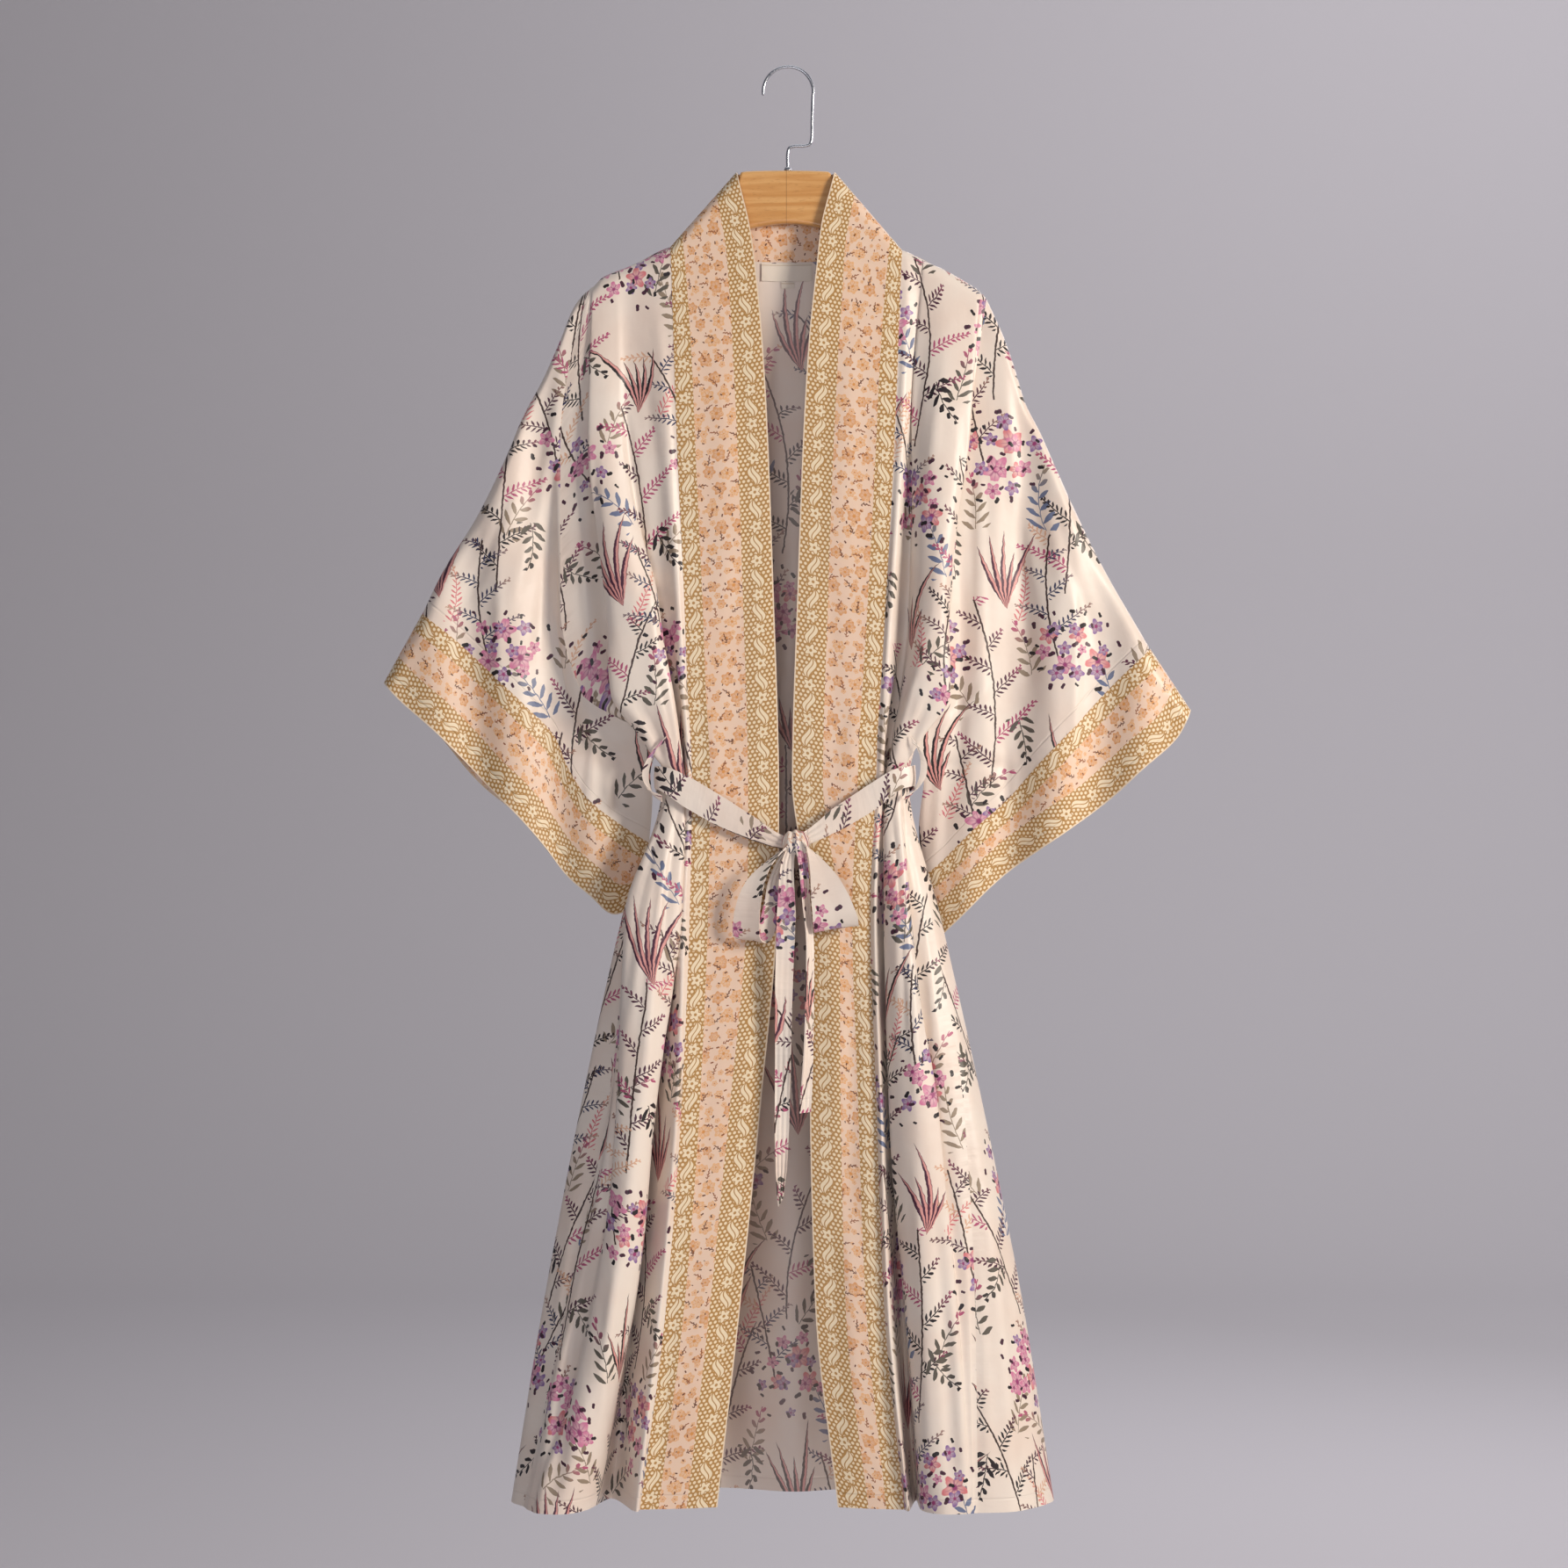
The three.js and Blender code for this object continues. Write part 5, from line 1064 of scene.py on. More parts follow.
def bent(tree, given, x, y, pick, bow):
    """Distance along a stem of Size over its length, and x from the stem, which is a parabola
    whose ends lie up to half of bow times Size to one side."""
    along = node(tree, "Math DIVIDE", y, given["Size"])
    side = node(tree, "Math SUBTRACT", pick[0], 0.5)
    side = node(tree, "Math MULTIPLY", side, node(tree, "Math MULTIPLY", given["Size"], bow))
    square = node(tree, "Math MULTIPLY", along, along)
    return along, node(tree, "Math SUBTRACT", x, node(tree, "Math MULTIPLY", square, side))


def leaflets(tree, along, across, pitch, leaf, width, slant):
    """Share of pointed leaves at both sides of a stem, one each pitch along it, half a pitch out
    of step at the other side. A leaf is a lens: its half-width is 4 * width * q * (1 - q), with
    q the distance from the stem over its length."""
    left = node(tree, "Math ABSOLUTE", across)
    other = node(tree, "Math MULTIPLY", node(tree, "Math GREATER_THAN", across, 0.0), 0.5)
    start = node(tree, "Math SUBTRACT", along, node(tree, "Math MULTIPLY", left, slant))
    phase = node(tree, "Math ADD", node(tree, "Math DIVIDE", start, pitch), other)
    local = node(tree, "Math SUBTRACT", node(tree, "Math FRACT", phase), 0.5)
    off = node(tree, "Math ABSOLUTE", node(tree, "Math MULTIPLY", local, pitch))
    q = node(tree, "Math MINIMUM", node(tree, "Math DIVIDE", left, leaf), 1.0)
    belly = node(tree, "Math MULTIPLY", q, node(tree, "Math SUBTRACT", 1.0, q))
    half = node(tree, "Math MULTIPLY", belly, node(tree, "Math MULTIPLY", width, 4.0))
    edge = node(tree, "Math SUBTRACT", off, half)
    inside = node(tree, "MapRange SMOOTHSTEP", edge, -0.24, 0.16, 1.0, 0.0)
    return node(tree, "Math MULTIPLY", inside, node(tree, "Math LESS_THAN", q, 0.995))


def sprig_group():
    """Bent stem of Size millimetres along +Y with leaves of Leaf by Width each Pitch, smaller
    towards its tip, where the ink runs into Tip."""
    tree, given, x, y, ink, pick, _middle = motif_group("Sprig")
    along, x = bent(tree, given, x, y, pick, 0.9)
    taper = node(tree, "MapRange SMOOTHSTEP", along, -0.5, 0.55, 1.0, 0.3)
    reach = node(tree, "Math MULTIPLY", given["Leaf"], taper)
    leaf = leaflets(tree, y, x, given["Pitch"], reach, given["Width"], 0.8)
    stem = node(tree, "MapRange SMOOTHSTEP", node(tree, "Math ABSOLUTE", x), 0.2, 0.6, 1.0, 0.0)
    share = node(tree, "Math MULTIPLY", node(tree, "Math MAXIMUM", stem, leaf),
                 within(tree, along, -0.5, 0.5))
    run = node(tree, "MapRange SMOOTHSTEP", along, 0.0, 0.5, 0.0, 1.0)
    return close_group(tree, given, share, node(tree, "Mix RGBA", run, ink, given["Tip"]))


def branch_group():
    """Bent woody stem of Size millimetres with fern fronds at both sides, one each Pitch. A
    frond leaves the stem at FROND_ANGLE and bows, and carries its own small leaflets. Its
    length, bow and ink come from the noise of its number. s runs along it and d across it."""
    tree, given, x, y, ink, pick, _middle = motif_group("Branch")
    along, x = bent(tree, given, x, y, pick, 0.7)
    left = node(tree, "Math ABSOLUTE", x)
    sine, cosine = math.sin(FROND_ANGLE), math.cos(FROND_ANGLE)
    other = node(tree, "Math MULTIPLY", node(tree, "Math GREATER_THAN", x, 0.0), 0.5)
    start = node(tree, "Math MULTIPLY_ADD", left, -cosine / sine, y)
    phase = node(tree, "Math ADD", node(tree, "Math DIVIDE", start, given["Pitch"]), other)
    number = node(tree, "Math ADD", node(tree, "Math FLOOR", phase), other)
    local = node(tree, "Math SUBTRACT", node(tree, "Math FRACT", phase), 0.5)
    local = node(tree, "Math MULTIPLY", local, given["Pitch"])
    s = node(tree, "Math MULTIPLY_ADD", local, cosine, node(tree, "Math MULTIPLY", left, 1 / sine))
    root = node(tree, "Math DIVIDE", node(tree, "Math SUBTRACT", start, local), given["Size"])
    seed = node(tree, "CombineXYZ", number, pick[0], pick[1])
    noise = node(tree, "TexWhiteNoise", seed, output=None)
    tint = node(tree, "SeparateColor", noise["Color"], output=None)
    length = node(tree, "Math MULTIPLY_ADD", noise["Value"], 22.0, 25.0)
    taper = node(tree, "MapRange SMOOTHSTEP", root, -0.5, 0.6, 1.2, 0.55)
    share = node(tree, "Math DIVIDE", s, node(tree, "Math MULTIPLY", length, taper))
    bow = node(tree, "Math MULTIPLY", node(tree, "Math MULTIPLY_ADD", tint[2], 15.0, -10.0),
               node(tree, "Math MULTIPLY", share, share))
    d = node(tree, "Math SUBTRACT", node(tree, "Math MULTIPLY", local, sine), bow)
    shorter = node(tree, "MapRange SMOOTHSTEP", share, 0.2, 1.1, 1.0, 0.35)
    reach = node(tree, "Math MULTIPLY", given["Leaf"], shorter)
    leaf = leaflets(tree, s, d, FROND_LEAF_PITCH, reach, given["Width"], 0.7)
    rib = node(tree, "MapRange SMOOTHSTEP", node(tree, "Math ABSOLUTE", d), 0.25, 0.65, 1.0, 0.0)
    frond = node(tree, "Math MULTIPLY", node(tree, "Math MAXIMUM", rib, leaf),
                 within(tree, share, 0.0, 1.0))
    frond = node(tree, "Math MULTIPLY", frond, within(tree, root, -0.44, 0.5))
    stem = node(tree, "MapRange SMOOTHSTEP", left, 0.6, 1.1, 1.0, 0.0)
    stem = node(tree, "Math MULTIPLY", stem, within(tree, along, -0.5, 0.5))
    pale = node(tree, "Math GREATER_THAN", tint[0], 0.8)
    tone = node(tree, "Mix RGBA", pale, ink, given["Tip"])
    run = node(tree, "MapRange SMOOTHSTEP", share, 0.4, 1.0, 0.0, 0.8)
    tone = node(tree, "Mix RGBA", node(tree, "Math MULTIPLY", run, tint[1]), tone, given["Tip"])
    tone = node(tree, "Mix RGBA", stem, tone, linear(INKS["bark"]))
    return close_group(tree, given, node(tree, "Math MAXIMUM", stem, frond), tone)


def flower_group():
    """Flower of Size millimetres with Pitch petals: its outline swells by Width with the cosine
    of the angle times the petal count. Ink fills the petals, Tip the heart and the gaps. A
    flower shows where its cell's middle is nearer than Leaf to a cluster's middle."""
    tree, given, x, y, ink, pick, middle = motif_group("Flower")
    size = node(tree, "Math MULTIPLY", given["Size"],
                node(tree, "Math MULTIPLY_ADD", pick[0], 0.5, 0.6))
    share = node(tree, "Math DIVIDE", flat_length(tree, x, y), size)
    angle = node(tree, "Math ARCTAN2", y, x)
    wave = node(tree, "Math COSINE", node(tree, "Math MULTIPLY", angle, given["Pitch"]))
    outline = node(tree, "Math MULTIPLY_ADD", wave, given["Width"], 0.76)
    beyond = node(tree, "Math SUBTRACT", share, outline)
    petal = node(tree, "MapRange SMOOTHSTEP", beyond, -0.06, 0.04, 1.0, 0.0)
    crown = node(tree, "MapRange SMOOTHSTEP", wave, 0.9, 1.0, 0.0, 0.5)
    vein = node(tree, "Math MULTIPLY", crown,
                node(tree, "MapRange SMOOTHSTEP", share, 0.35, 0.85, 1.0, 0.0))
    notch = node(tree, "MapRange SMOOTHSTEP", wave, -1.0, -0.4, 0.9, 0.0)
    gap = node(tree, "Math MULTIPLY", notch,
               node(tree, "MapRange SMOOTHSTEP", share, 0.0, 0.8, 1.0, 0.4))
    heart = node(tree, "MapRange SMOOTHSTEP", share, 0.12, 0.3, 1.0, 0.0)
    dark = node(tree, "Math MAXIMUM", node(tree, "Math MAXIMUM", heart, vein), gap)
    full = node(tree, "Math GREATER_THAN", given["Pitch"], 3.0)
    light_part = node(tree, "MapRange SMOOTHSTEP", share, 0.25, 0.9, 0.45, 0.0)
    light_part = node(tree, "Math MULTIPLY", light_part, full)
    pale = node(tree, "Mix RGBA", light_part, ink, linear(INKS["cream"]))
    colour = node(tree, "Mix RGBA", dark, pale, given["Tip"])
    home = node(tree, "VectorMath SUBTRACT", middle, (*CLUSTER_SHIFT, 0.0))
    home = cells(tree, home, (*REPEAT, 1.0))[1]
    near = node(tree, "Math LESS_THAN", node(tree, "VectorMath LENGTH", home), given["Leaf"])
    return close_group(tree, given, node(tree, "Math MULTIPLY", petal, near), colour)


def tuft_group():
    """Fan of strap leaves from one foot: the angle is cut into sectors of Pitch radians, and
    each holds a pointed leaf of its own length, dark along one side and Tip along the other."""
    tree, given, x, y, ink, pick, _middle = motif_group("Tuft")
    y = node(tree, "Math MULTIPLY_ADD", given["Size"], 0.5, y)
    radius = flat_length(tree, x, y)
    curl = node(tree, "Math MULTIPLY", node(tree, "Math DIVIDE", radius, given["Size"]),
                node(tree, "Math MULTIPLY_ADD", pick[0], 1.2, -0.6))
    angle = node(tree, "Math ADD", node(tree, "Math ARCTAN2", x, y), curl)
    sector = node(tree, "Math DIVIDE", angle, given["Pitch"])
    number = node(tree, "Math ROUND", sector)
    random = node(tree, "TexWhiteNoise", node(tree, "CombineXYZ", number, pick[0], pick[1]))
    reach = node(tree, "Math MULTIPLY", given["Size"],
                 node(tree, "Math MULTIPLY_ADD", random, 0.6, 0.42))
    share = node(tree, "Math DIVIDE", radius, reach)
    off = node(tree, "Math MULTIPLY", node(tree, "Math SUBTRACT", sector, number),
               node(tree, "Math MULTIPLY", radius, given["Pitch"]))
    belly = node(tree, "Math MULTIPLY", node(tree, "Math POWER", share, 0.6),
                 node(tree, "Math SUBTRACT", 1.0, share))
    edge = node(tree, "Math SUBTRACT", node(tree, "Math ABSOLUTE", off),
                node(tree, "Math MULTIPLY", belly, given["Width"]))
    leaf = node(tree, "MapRange SMOOTHSTEP", edge, -0.25, 0.2, 1.0, 0.0)
    leaf = node(tree, "Math MULTIPLY", leaf, within(tree, number, -2.5, 2.5))
    leaf = node(tree, "Math MULTIPLY", leaf, within(tree, share, 0.0, 1.0))
    filled = node(tree, "MapRange SMOOTHSTEP", off, -0.5, 0.3, 0.0, 1.0)
    inner = node(tree, "MapRange SMOOTHSTEP", edge, -0.7, -0.3, 1.0, 0.2)
    tone = node(tree, "Mix RGBA", node(tree, "Math MULTIPLY", filled, inner), ink, given["Tip"])
    return close_group(tree, given, leaf, tone)


def layered(tree, place, colour, layers, waver):
    """Lay each layer of motifs over a colour in turn. Their edges waver like brushed ink: the
    place moves by smooth noise with 6 mm waves, by up to half the waver in millimetres."""
    noise = node(tree, "TexNoise", place, 1 / 6, 2.0, output="Color")
    moved = node(tree, "VectorMath SUBTRACT", noise, (0.5, 0.5, 0.5))
    moved = node(tree, "VectorMath SCALE", moved, waver)
    brushed = node(tree, "VectorMath ADD", place, moved)
    builders = {"sprig": sprig_group, "branch": branch_group, "tuft": tuft_group,
                "flower": flower_group}
    groups = {}
    for kind, cell, shift, turn, spread, stray, sizes, inks in layers:
        if kind not in groups:
            groups[kind] = builders[kind]()
        made = tree.nodes.new("ShaderNodeGroup")
        made.node_tree = groups[kind]
        tree.links.new(colour, made.inputs["Under"])
        tree.links.new(brushed, made.inputs["Cloth"])
        settings = {"Cell": (*cell, 1.0), "Shift": (*shift, 0.0), "Turn": math.radians(turn),
                    "Spread": math.radians(spread), "Stray": stray}
        settings.update(zip(("Size", "Leaf", "Width", "Pitch"), sizes))
        settings.update(zip(("Ink", "Other ink", "Tip"), [linear(INKS[name]) for name in inks]))
        for label, value in settings.items():
            made.inputs[label].default_value = value
        colour = made.outputs["Colour"]
    return colour


def floral(tree, place):
    """Printed colour of the floral satin: motifs over cream with a slow stain of warmer cream."""
    stain = node(tree, "TexNoise", place, 1 / 75, 3.0)
    stain = node(tree, "MapRange SMOOTHSTEP", stain, 0.35, 0.7, 0.0, 1.0)
    colour = node(tree, "Mix RGBA", stain, linear("#F1E6DA"), linear("#EDDCCE"))
    return layered(tree, place, colour, LAYERS, 2.6)


def border(tree, across, along, width):
    """Printed border strip as (share, colour). Across runs from 0 at its outer edge to its width
    in millimetres: ochre ground, down the middle a cream flower with five petals and an S-shaped
    leaf by turns, and round them rows of small cream dots like scales."""
    off = node(tree, "Math SUBTRACT", across, width / 2)
    turn = node(tree, "Math FRACT", node(tree, "Math DIVIDE", along, BORDER_PAIR))
    step = node(tree, "Math MULTIPLY", turn, BORDER_PAIR)
    from_flower = node(tree, "Math SUBTRACT", step, BORDER_FLOWER)
    radius = flat_length(tree, off, from_flower)
    angle = node(tree, "Math ARCTAN2", from_flower, off)
    wave = node(tree, "Math COSINE", node(tree, "Math MULTIPLY", angle, 5.0))
    outline = node(tree, "Math MULTIPLY_ADD", wave, 1.3, 4.4)
    beyond_star = node(tree, "Math SUBTRACT", radius, outline)
    star = node(tree, "MapRange SMOOTHSTEP", beyond_star, -0.4, 0.4, 1.0, 0.0)
    hollow = node(tree, "MapRange SMOOTHSTEP", radius, 1.0, 1.7, 0.0, 1.0)
    star = node(tree, "Math MULTIPLY", star, hollow)
    from_leaf = node(tree, "Math SUBTRACT", step, BORDER_LEAF)
    curve = node(tree, "Math SINE", node(tree, "Math MULTIPLY", from_leaf, 0.27))
    away = node(tree, "Math ABSOLUTE", node(tree, "Math MULTIPLY_ADD", curve, -2.7, off))
    square = node(tree, "Math MULTIPLY", from_leaf, from_leaf)
    body = node(tree, "Math MULTIPLY_ADD", square, -0.046, 4.1)
    beyond_leaf = node(tree, "Math SUBTRACT", away, body)
    leaf = node(tree, "MapRange SMOOTHSTEP", beyond_leaf, -0.35, 0.35, 1.0, 0.0)
    vein = node(tree, "MapRange SMOOTHSTEP", away, 0.3, 0.7, 0.0, 1.0)
    leaf = node(tree, "Math MULTIPLY", leaf, vein)
    dots = cells(tree, node(tree, "CombineXYZ", across, along, 0.0), BORDER_DOTS)[1]
    dots = node(tree, "MapRange SMOOTHSTEP", node(tree, "VectorMath LENGTH", dots),
                1.05, 1.7, 1.0, 0.0)
    outer = node(tree, "Math GREATER_THAN",
                 node(tree, "Math MINIMUM", beyond_star, beyond_leaf), 1.1)
    motif = node(tree, "Math MAXIMUM", node(tree, "Math MAXIMUM", star, leaf),
                 node(tree, "Math MULTIPLY", dots, outer))
    colour = node(tree, "Mix RGBA", motif, linear("#B98C4C"), linear("#F5E4C4"))
    return within(tree, across, 0.0, width), colour


def salmon(tree, place):
    """Printed ground of the bands: pale salmon with soft orange blossoms and tiny brown sprigs,
    in the same kind of layers as the floral print."""
    stain = node(tree, "TexNoise", place, 1 / 62, 2.0)
    colour = node(tree, "Mix RGBA", stain, linear("#EFCDB1"), linear("#F2D9C4"))
    return layered(tree, place, colour, BAND_LAYERS, 1.2)


def satin(tree, place, tinted):
    """Satin surface: seams are puckered in 8 mm gathers, the hem has its stitch line, soft
    33 mm dents break the sheen, and a little light passes through the thin cloth."""
    near, far, hem = (node(tree, "Attribute", attribute_name=label, output="Fac")
                      for label in ("near_mm", "far_mm", "hem_mm"))
    side = node(tree, "Math MINIMUM", near, far)
    gathers = node(tree, "VectorMath MULTIPLY", place, (1 / 40, 1 / 8, 1.0))
    pucker = node(tree, "TexNoise", gathers, 1.0, 2.0)
    beside = node(tree, "MapRange SMOOTHSTEP", side, 3.0, 26.0, 1.0, 0.0)
    rough = node(tree, "Math MULTIPLY", pucker, beside)
    dents = node(tree, "TexNoise", place, 1 / 33, 3.0, 0.6)
    from_line = node(tree, "Math ABSOLUTE", node(tree, "Math SUBTRACT", hem, 12.0))
    line = node(tree, "MapRange SMOOTHSTEP", from_line, 0.4, 1.4, -0.5, 0.0)
    height = node(tree, "Math ADD", node(tree, "Math MULTIPLY_ADD", dents, 0.9, rough), line)
    bump = node(tree, "Bump", values={"Strength": 0.5, "Distance": 1.6 * MM, "Height": height})
    main = node(tree, "BsdfPrincipled", values={
        "Base Color": tinted, "Roughness": 0.42, "Sheen Weight": 0.15, "Sheen Roughness": 0.4,
        "Specular IOR Level": 0.5, "Normal": bump})
    through = node(tree, "BsdfTranslucent", values={"Color": tinted, "Normal": bump})
    return node(tree, "MixShader", 0.1, main, through)


def floral_satin():
    """Floral satin, digitally printed: cream cloth with a soft broad sheen, so folds show as
    light ridges, and brushed ink motifs, paler on the wrong side."""
    material, tree = new_material(FLORAL)
    place = cloth_place(tree)
    colour = floral(tree, place)
    reverse = node(tree, "Attribute", attribute_name="reverse", output="Fac")
    pale = node(tree, "Mix RGBA", 0.22, colour, linear("#EADBD2"))
    finish_material(tree, satin(tree, place, node(tree, "Mix RGBA", reverse, colour, pale)))
    return material


def border_satin(cuff):
    """Border satin of the bands or cuffs, digitally printed: pale salmon between two ochre
    border strips with cream flowers and dots, and a pale piped edge. On a cuff the strips run
    round it, along its seam and its hem, and on a neckband down it, along its seam and edge."""
    material, tree = new_material(BORDER + ("cuffs" if cuff else "bands"))
    place = cloth_place(tree)
    run = node(tree, "SeparateXYZ", place, output=None)[0 if cuff else 1]
    labels = ("top_mm", "hem_mm") if cuff else ("near_mm", "far_mm")
    seam, edge, reverse = (node(tree, "Attribute", attribute_name=label, output="Fac")
                           for label in (*labels, "reverse"))
    colour = salmon(tree, place)
    face = node(tree, "Math SUBTRACT", 1.0, reverse)
    for distance, width in ((seam, SEAM_BORDER), (edge, EDGE_BORDER)):
        share, strip = border(tree, distance, run, width)
        share = node(tree, "Math MULTIPLY", share, face)
        colour = node(tree, "Mix RGBA", share, colour, strip)
    piping = node(tree, "MapRange SMOOTHSTEP", edge, 0.8, 1.6, 1.0, 0.0)
    colour = node(tree, "Mix RGBA", piping, colour, linear("#F0DCC0"))
    finish_material(tree, satin(tree, place, colour))
    return material


def label_weave():
    """Woven polyester damask of the label: matt cream, with the small checks of its weave. Its
    threads of 0.15 mm are drawn 0.6 mm wide, as coarse as they need to show."""
    material, tree = new_material("Woven label, polyester damask")
    weave = node(tree, "TexChecker", cloth_place(tree), values={"Scale": 1 / 0.6}, output="Fac")
    top = node(tree, "Attribute", attribute_name="top_mm", output="Fac")
    from_thread = node(tree, "Math ABSOLUTE", node(tree, "Math SUBTRACT", top, 1.6))
    thread = node(tree, "MapRange SMOOTHSTEP", from_thread, 0.2, 0.5, 1.0, 0.0)
    colour = node(tree, "Mix RGBA", thread, linear("#E9E0D2"), linear("#C9B79F"))
    bump = node(tree, "Bump", values={"Strength": 0.4, "Distance": 0.2 * MM, "Height": weave})
    finish_material(tree, node(tree, "BsdfPrincipled", values={
        "Base Color": colour, "Roughness": 0.75, "Sheen Weight": 0.1, "Normal": bump}))
    return material


def varnished_wood():
    """Clear varnished beech, planed: golden brown with fine long grain, 8 mm wide, short flecks
    of 1 mm along the arms and a gloss coat. The hanger is two boards glued at its middle."""
    material, tree = new_material("Beech, clear varnish")
    place = node(tree, "TexCoord", output="Object")
    place = node(tree, "VectorMath SCALE", place, values={"Scale": 1 / MM})
    grain = node(tree, "VectorMath MULTIPLY", place, (1 / 110, 1 / 17, 1 / 8))
    wave = node(tree, "TexNoise", grain, 1.0, 4.0, values={"Distortion": 0.6})
    wave = node(tree, "MapRange SMOOTHSTEP", wave, 0.35, 0.68, 0.0, 1.0)
    colour = node(tree, "Mix RGBA", wave, linear("#DDAB6C"), linear("#C98F4D"))
    rays = node(tree, "VectorMath MULTIPLY", place, (1 / 5.5, 1 / 2, 1 / 1.1))
    fleck = node(tree, "TexNoise", rays, 1.0, 1.0)
    fleck = node(tree, "MapRange SMOOTHSTEP", fleck, 0.6, 0.72, 0.0, 0.25)
    colour = node(tree, "Mix RGBA", fleck, colour, linear("#A06C38"))
    across = node(tree, "SeparateXYZ", place, output="X")
    from_glue = node(tree, "Math ABSOLUTE", node(tree, "Math ADD", across, 0.8))
    glue = node(tree, "MapRange SMOOTHSTEP", from_glue, 0.15, 0.5, 0.5, 0.0)
    colour = node(tree, "Mix RGBA", glue, colour, linear("#7A4A20"))
    finish_material(tree, node(tree, "BsdfPrincipled", values={
        "Base Color": colour, "Roughness": 0.34, "Coat Weight": 0.5, "Coat Roughness": 0.12}))
    return material


def steel_wire():
    """Bright drawn steel wire, zinc plated: cool silver with faint draw marks 1.1 mm apart."""
    material, tree = new_material("Steel wire, bright zinc plate")
    place = node(tree, "TexCoord", output="Object")
    marks = node(tree, "TexNoise", place, 1 / (1.1 * MM), 2.0)
    rough = node(tree, "MapRange SMOOTHSTEP", marks, 0.3, 0.7, 0.2, 0.34)
    finish_material(tree, node(tree, "BsdfPrincipled", values={
        "Base Color": linear("#C3C6CC"), "Metallic": 1.0, "Roughness": rough}))
    return material


def backdrop_paint(name, colour):
    """Matt emulsion paint, rolled: an even soft grey with no gloss."""
    material, tree = new_material(name)
    finish_material(tree, node(tree, "BsdfPrincipled", values={
        "Base Color": colour, "Roughness": 0.9, "Specular IOR Level": 0.1}))
    return material


def kept(name, build):
    """The material of that name, built the first time it's asked for."""
    return bpy.data.materials.get(name) or build()


# Sizes and colours a user would change

class KimonoSettings(bpy.types.PropertyGroup):
    """Sizes and colours of the kimono dress and its stage."""

    cloth_thick: bpy.props.FloatProperty(
        name="Cloth thickness", description="Thickness of one layer of satin", unit="LENGTH",
        default=0.0006, min=0.0002, max=0.0012)
    band_thick: bpy.props.FloatProperty(
        name="Band thickness", description="Thickness of the doubled neckband, cuffs and belt",
        unit="LENGTH", default=0.0011, min=0.0004, max=0.0015)
    crease_depth: bpy.props.FloatProperty(
        name="Crease depth", description="Multiplier of every crease laid by hand",
        subtype="FACTOR", default=1.0, min=0.0, max=1.5)
    stage_width: bpy.props.FloatProperty(
        name="Stage width", description="Width of the floor and of the wall behind the robe",
        unit="LENGTH", default=18.0, min=6.0, max=40.0)
    wall_colour: bpy.props.FloatVectorProperty(
        name="Wall colour", description="Paint of the wall and floor", subtype="COLOR", size=4,
        default=linear("#C9C6C8"), min=0.0, max=1.0)


def settle(obj, piece):
    """Put a finished piece on the frame: it rides on the root body, and the CAD node it stands for
    is hidden."""
    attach(obj, "root")
    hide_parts(piece)


def body_grids():
    """Grids of both fronts and the back before their creases."""
    return (panel(FRONT_LEFT, after=BACK[1]), panel(FRONT_RIGHT, after=BACK[-2]),
            panel(BACK, before=FRONT_LEFT[7], after=FRONT_RIGHT[7]))


def ring_grids():
    """Sleeve and cuff rings of each side: the last column of a front and the first or last of
    the back, down to the underarm, are its armhole."""
    left, right, back = body_grids()
    seams = slice(0, UNDERARM_ROW + 1)
    return {"left": sleeve_rings("left", left[-1, seams], back[0, seams]),
            "right": sleeve_rings("right", right[-1, seams], back[-1, seams])}


class KIMONO_OT_fronts(bpy.types.Operator):
    """Build the two front panels"""

    bl_idname = "kimono.fronts"
    bl_label = "Front panels"

    def execute(self, context):
        size = context.scene.kimono
        satin_cloth = kept(FLORAL, floral_satin)
        left, right, _back = body_grids()
        for piece, grid, outward, start in (("front_left", left, 1, (430, 40)),
                                            ("front_right", right, -1, (90, 260))):
            grid = creased(piece, grid, outward, depth=size.crease_depth)
            made = cloth(piece + "_cloth", grid, satin_cloth, size.cloth_thick / MM, outward,
                         along_row=UNDERARM_ROW, side=-outward, start=start)
            settle(made, piece)
        return {"FINISHED"}


class KIMONO_OT_back(bpy.types.Operator):
    """Build the back panel"""

    bl_idname = "kimono.back"
    bl_label = "Back panel"

    def execute(self, context):
        size = context.scene.kimono
        satin_cloth = kept(FLORAL, floral_satin)
        grid = creased("back_body", body_grids()[2], 1, depth=size.crease_depth)
        made = cloth("back_body_cloth", grid, satin_cloth, size.cloth_thick / MM, 1,
                     across_from=CENTRE_BACK * SPLITS, along_row=UNDERARM_ROW)
        settle(made, "back_body")
        return {"FINISHED"}


class KIMONO_OT_neckbands(bpy.types.Operator):
    """Build both halves of the neckband"""

    bl_idname = "kimono.neckbands"
    bl_label = "Neckband"

    def execute(self, context):
        size = context.scene.kimono
        band_cloth = kept(BORDER + "bands", lambda: border_satin(False))
        left, right, back = body_grids()
        for side, front, outward in (("left", left, -1), ("right", right, 1)):
            piece = "neckband_" + side
            grid = creased(piece, band_grid(side, front, back), outward, depth=size.crease_depth)
            made = cloth(piece + "_cloth", grid, band_cloth, size.band_thick / MM, outward,
                         start=(0, 170) if side == "left" else (300, 0))
            settle(made, piece)
        return {"FINISHED"}


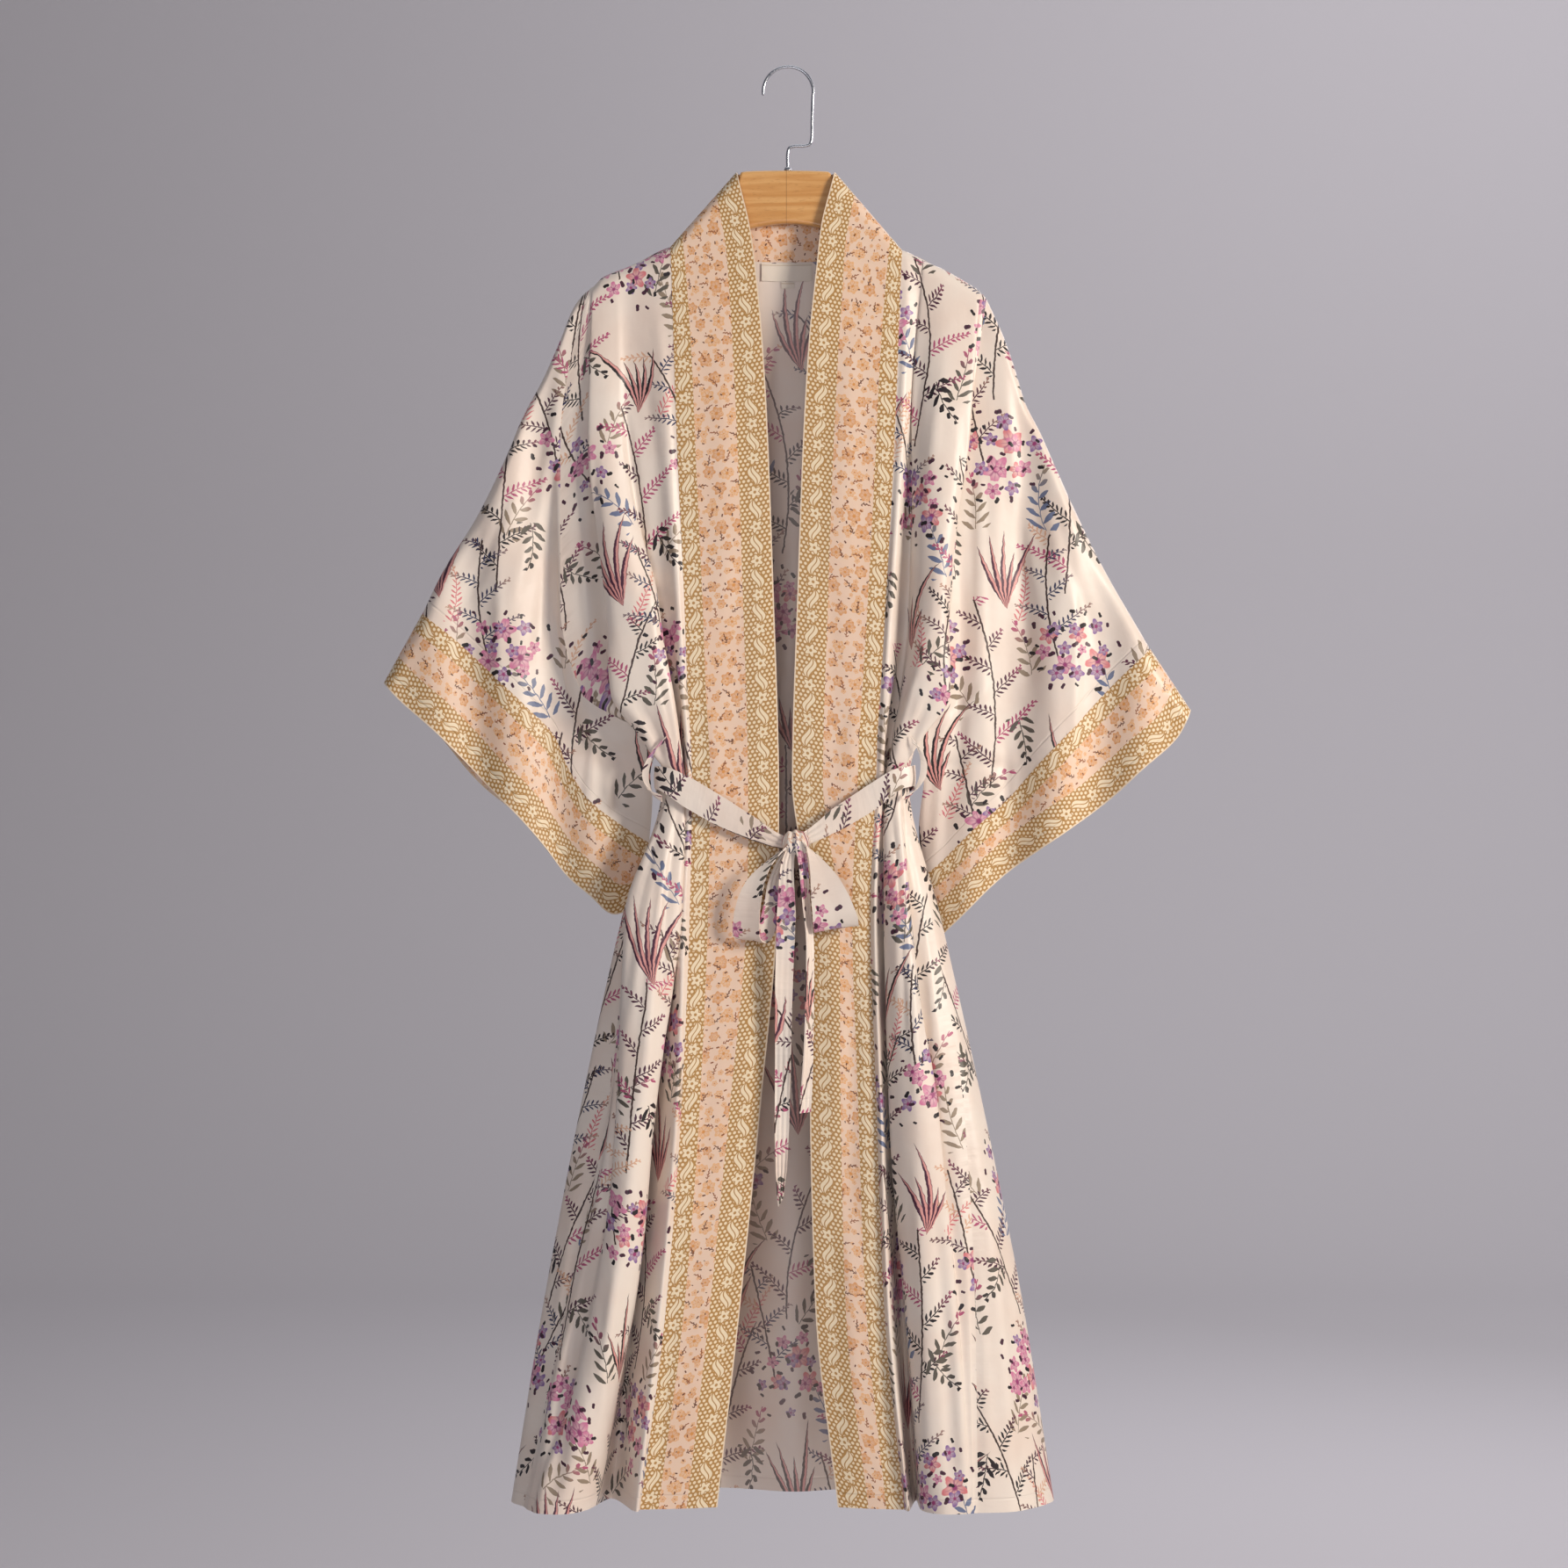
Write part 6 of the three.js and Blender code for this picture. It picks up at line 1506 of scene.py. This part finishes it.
class KIMONO_OT_sleeves(bpy.types.Operator):
    """Build both sleeves and their cuffs"""

    bl_idname = "kimono.sleeves"
    bl_label = "Sleeves and cuffs"

    def execute(self, context):
        size = context.scene.kimono
        satin_cloth = kept(FLORAL, floral_satin)
        cuff_cloth = kept(BORDER + "cuffs", lambda: border_satin(True))
        for side, rings in ring_grids().items():
            outward = -1 if side == "left" else 1
            sleeve = creased("sleeve_" + side, rings[0], outward, True, size.crease_depth)
            made = cloth(f"sleeve_{side}_cloth", sleeve, satin_cloth, size.cloth_thick / MM,
                         outward, closed=True, laid=True, start=(-outward * 60, 130))
            settle(made, "sleeve_" + side)
            made = cloth(f"cuff_{side}_cloth", rings[1], cuff_cloth, size.band_thick / MM,
                         outward, closed=True)
            settle(made, "cuff_" + side)
        return {"FINISHED"}


class KIMONO_OT_belt(bpy.types.Operator):
    """Build the belt, its bow and its carriers"""

    bl_idname = "kimono.belt"
    bl_label = "Belt and bow"

    def execute(self, context):
        size = context.scene.kimono
        satin_cloth = kept(FLORAL, floral_satin)
        waist = ["front_left_cloth", "front_right_cloth", "back_body_cloth"]
        knot = ["bow_knot_cloth"]
        settle(bow_knot(satin_cloth), "bow_knot")
        for number, (piece, rows, count, pleats, curl, held, rests_on) in enumerate((
                ("belt_left", BELT_LEFT, 90, 0.9, 0.5, "stretched", waist),
                ("belt_right", BELT_RIGHT, 90, -0.9, 0.5, "stretched", waist),
                ("belt_back", BELT_BACK, 110, 0.0, 0.5, "stretched", waist),
                ("bow_loop_left", LOOP_LEFT, 110, 0.7, 0.6, "folded", knot),
                ("bow_loop_right", LOOP_RIGHT, 110, 0.7, 0.6, "folded", knot),
                ("bow_tail_left", TAIL_LEFT, 160, 0.5, 0.6, "hung", knot),
                ("bow_tail_right", TAIL_RIGHT, 120, 0.5, 0.6, "hung", knot),
                ("carrier_left", CARRIER_LEFT, 40, 0.0, 0.3, "hung", waist),
                ("carrier_right", CARRIER_RIGHT, 40, 0.0, 0.3, "hung", waist))):
            grid = ribbon(rows, count, pleats, curl)
            made = cloth(piece + "_cloth", grid, satin_cloth, size.band_thick / MM, double=True,
                         start=(number * 67, number * 143))
            settle(made, piece)
        return {"FINISHED"}


class KIMONO_OT_labels(bpy.types.Operator):
    """Build the blank neck label and its tab"""

    bl_idname = "kimono.labels"
    bl_label = "Neck label"

    def execute(self, context):
        weave = kept("Woven label, polyester damask", label_weave)
        for piece, first, last, drop, height in (("neck_label", 5.34, 6.62, 1.5, 16),
                                                 ("size_tab", 5.84, 6.16, 18, 6)):
            grid = back_patch(first, last, drop, height)
            made = cloth(piece + "_cloth", grid, weave, LABEL_THICK, double=True)
            settle(made, piece)
        return {"FINISHED"}


class KIMONO_OT_hanger(bpy.types.Operator):
    """Build the wooden hanger and its hook"""

    bl_idname = "kimono.hanger"
    bl_label = "Hanger"

    def execute(self, context):
        settle(hanger_wood(kept("Beech, clear varnish", varnished_wood)), "hanger_wood")
        steel = kept("Steel wire, bright zinc plate", steel_wire)
        for name, rings in (("hanger_hook_wire", tube(hook_path(), WIRE_RADIUS)),
                            ("hanger_hook_collar", collar_rings())):
            settle(capped(name, rings, steel), "hanger_hook")
        return {"FINISHED"}


def light(name, place, aim, size, energy, colour):
    """Square area light of a size and power at a place, turned to face a point."""
    data = bpy.data.lights.new(name, "AREA")
    data.shape = "SQUARE"
    data.size = size
    data.energy = energy
    data.color = linear(colour)[:3]
    made = bpy.data.objects.new(name, data)
    made.location = place
    towards = mathutils.Vector(aim) - mathutils.Vector(place)
    made.rotation_euler = towards.to_track_quat("-Z", "Y").to_euler()
    bpy.context.scene.collection.objects.link(made)


class KIMONO_OT_stage(bpy.types.Operator):
    """Build the floor, the wall, the lights and the camera"""

    bl_idname = "kimono.stage"
    bl_label = "Stage"

    def execute(self, context):
        size = context.scene.kimono
        scene = context.scene
        turn = np.linspace(0, np.pi / 2, 24)
        flat = np.linspace(FLOOR_FRONT_Y, WALL_Y - COVE_RADIUS, 4, endpoint=False)
        y = np.concatenate([flat, WALL_Y - COVE_RADIUS * (1 - np.sin(turn)), [WALL_Y] * 2])
        z = np.concatenate([[FLOOR_Z] * len(flat), FLOOR_Z + COVE_RADIUS * (1 - np.cos(turn)),
                            [WALL_TOP_Z / 2, WALL_TOP_Z]])
        x = np.linspace(-size.stage_width / 2, size.stage_width / 2, 9)
        grid = np.stack(np.broadcast_arrays(x[:, None], y, z), axis=-1) / MM
        corner = grid_faces(len(x), len(y), False)
        faces = np.stack([i * len(y) + j for i, j in corner], axis=1).tolist()
        paint = backdrop_paint("Wall and floor, matt emulsion", tuple(size.wall_colour))
        mesh_object("backdrop", grid, faces, paint)
        for name, settings in LIGHTS.items():
            light(name, *settings)
        world = scene.world or bpy.data.worlds.new("studio")
        scene.world = world
        world.use_nodes = True
        sky = world.node_tree.nodes.get("Background")
        sky.inputs["Color"].default_value = linear(WORLD_COLOUR)
        sky.inputs["Strength"].default_value = WORLD_STRENGTH
        data = bpy.data.cameras.new("camera")
        data.lens = CAMERA_LENS_MM
        data.sensor_width = CAMERA_SENSOR_MM
        camera = bpy.data.objects.new("camera", data)
        camera.location = CAMERA_PLACE
        camera.rotation_euler = (math.radians(90), 0.0, 0.0)
        scene.collection.objects.link(camera)
        scene.camera = camera
        scene.view_settings.view_transform = "Standard"
        return {"FINISHED"}


class KIMONO_PT_panel(bpy.types.Panel):
    """Lists the steps that build the kimono dress"""

    bl_idname = "KIMONO_PT_panel"
    bl_label = "Kimono dress"
    bl_space_type = "VIEW_3D"
    bl_region_type = "UI"
    bl_category = "Kimono"

    def draw(self, context):
        for name in KimonoSettings.__annotations__:
            self.layout.prop(context.scene.kimono, name)
        for step in STEPS:
            self.layout.operator(step.bl_idname)


STEPS = (KIMONO_OT_back, KIMONO_OT_fronts, KIMONO_OT_neckbands, KIMONO_OT_sleeves,
         KIMONO_OT_belt, KIMONO_OT_labels, KIMONO_OT_hanger, KIMONO_OT_stage)
CLASSES = (KimonoSettings, *STEPS, KIMONO_PT_panel)


def register():
    """Register the classes and hang the settings on the scene."""
    for item in CLASSES:
        bpy.utils.register_class(item)
    bpy.types.Scene.kimono = bpy.props.PointerProperty(type=KimonoSettings)


def unregister():
    """Take the settings and the classes away."""
    del bpy.types.Scene.kimono
    for item in reversed(CLASSES):
        bpy.utils.unregister_class(item)


def main():
    """Build every piece and the stage."""
    register()
    for step in STEPS:
        group, name = step.bl_idname.split(".")
        getattr(getattr(bpy.ops, group), name)()
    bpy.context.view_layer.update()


if __name__ == "__main__":
    main()
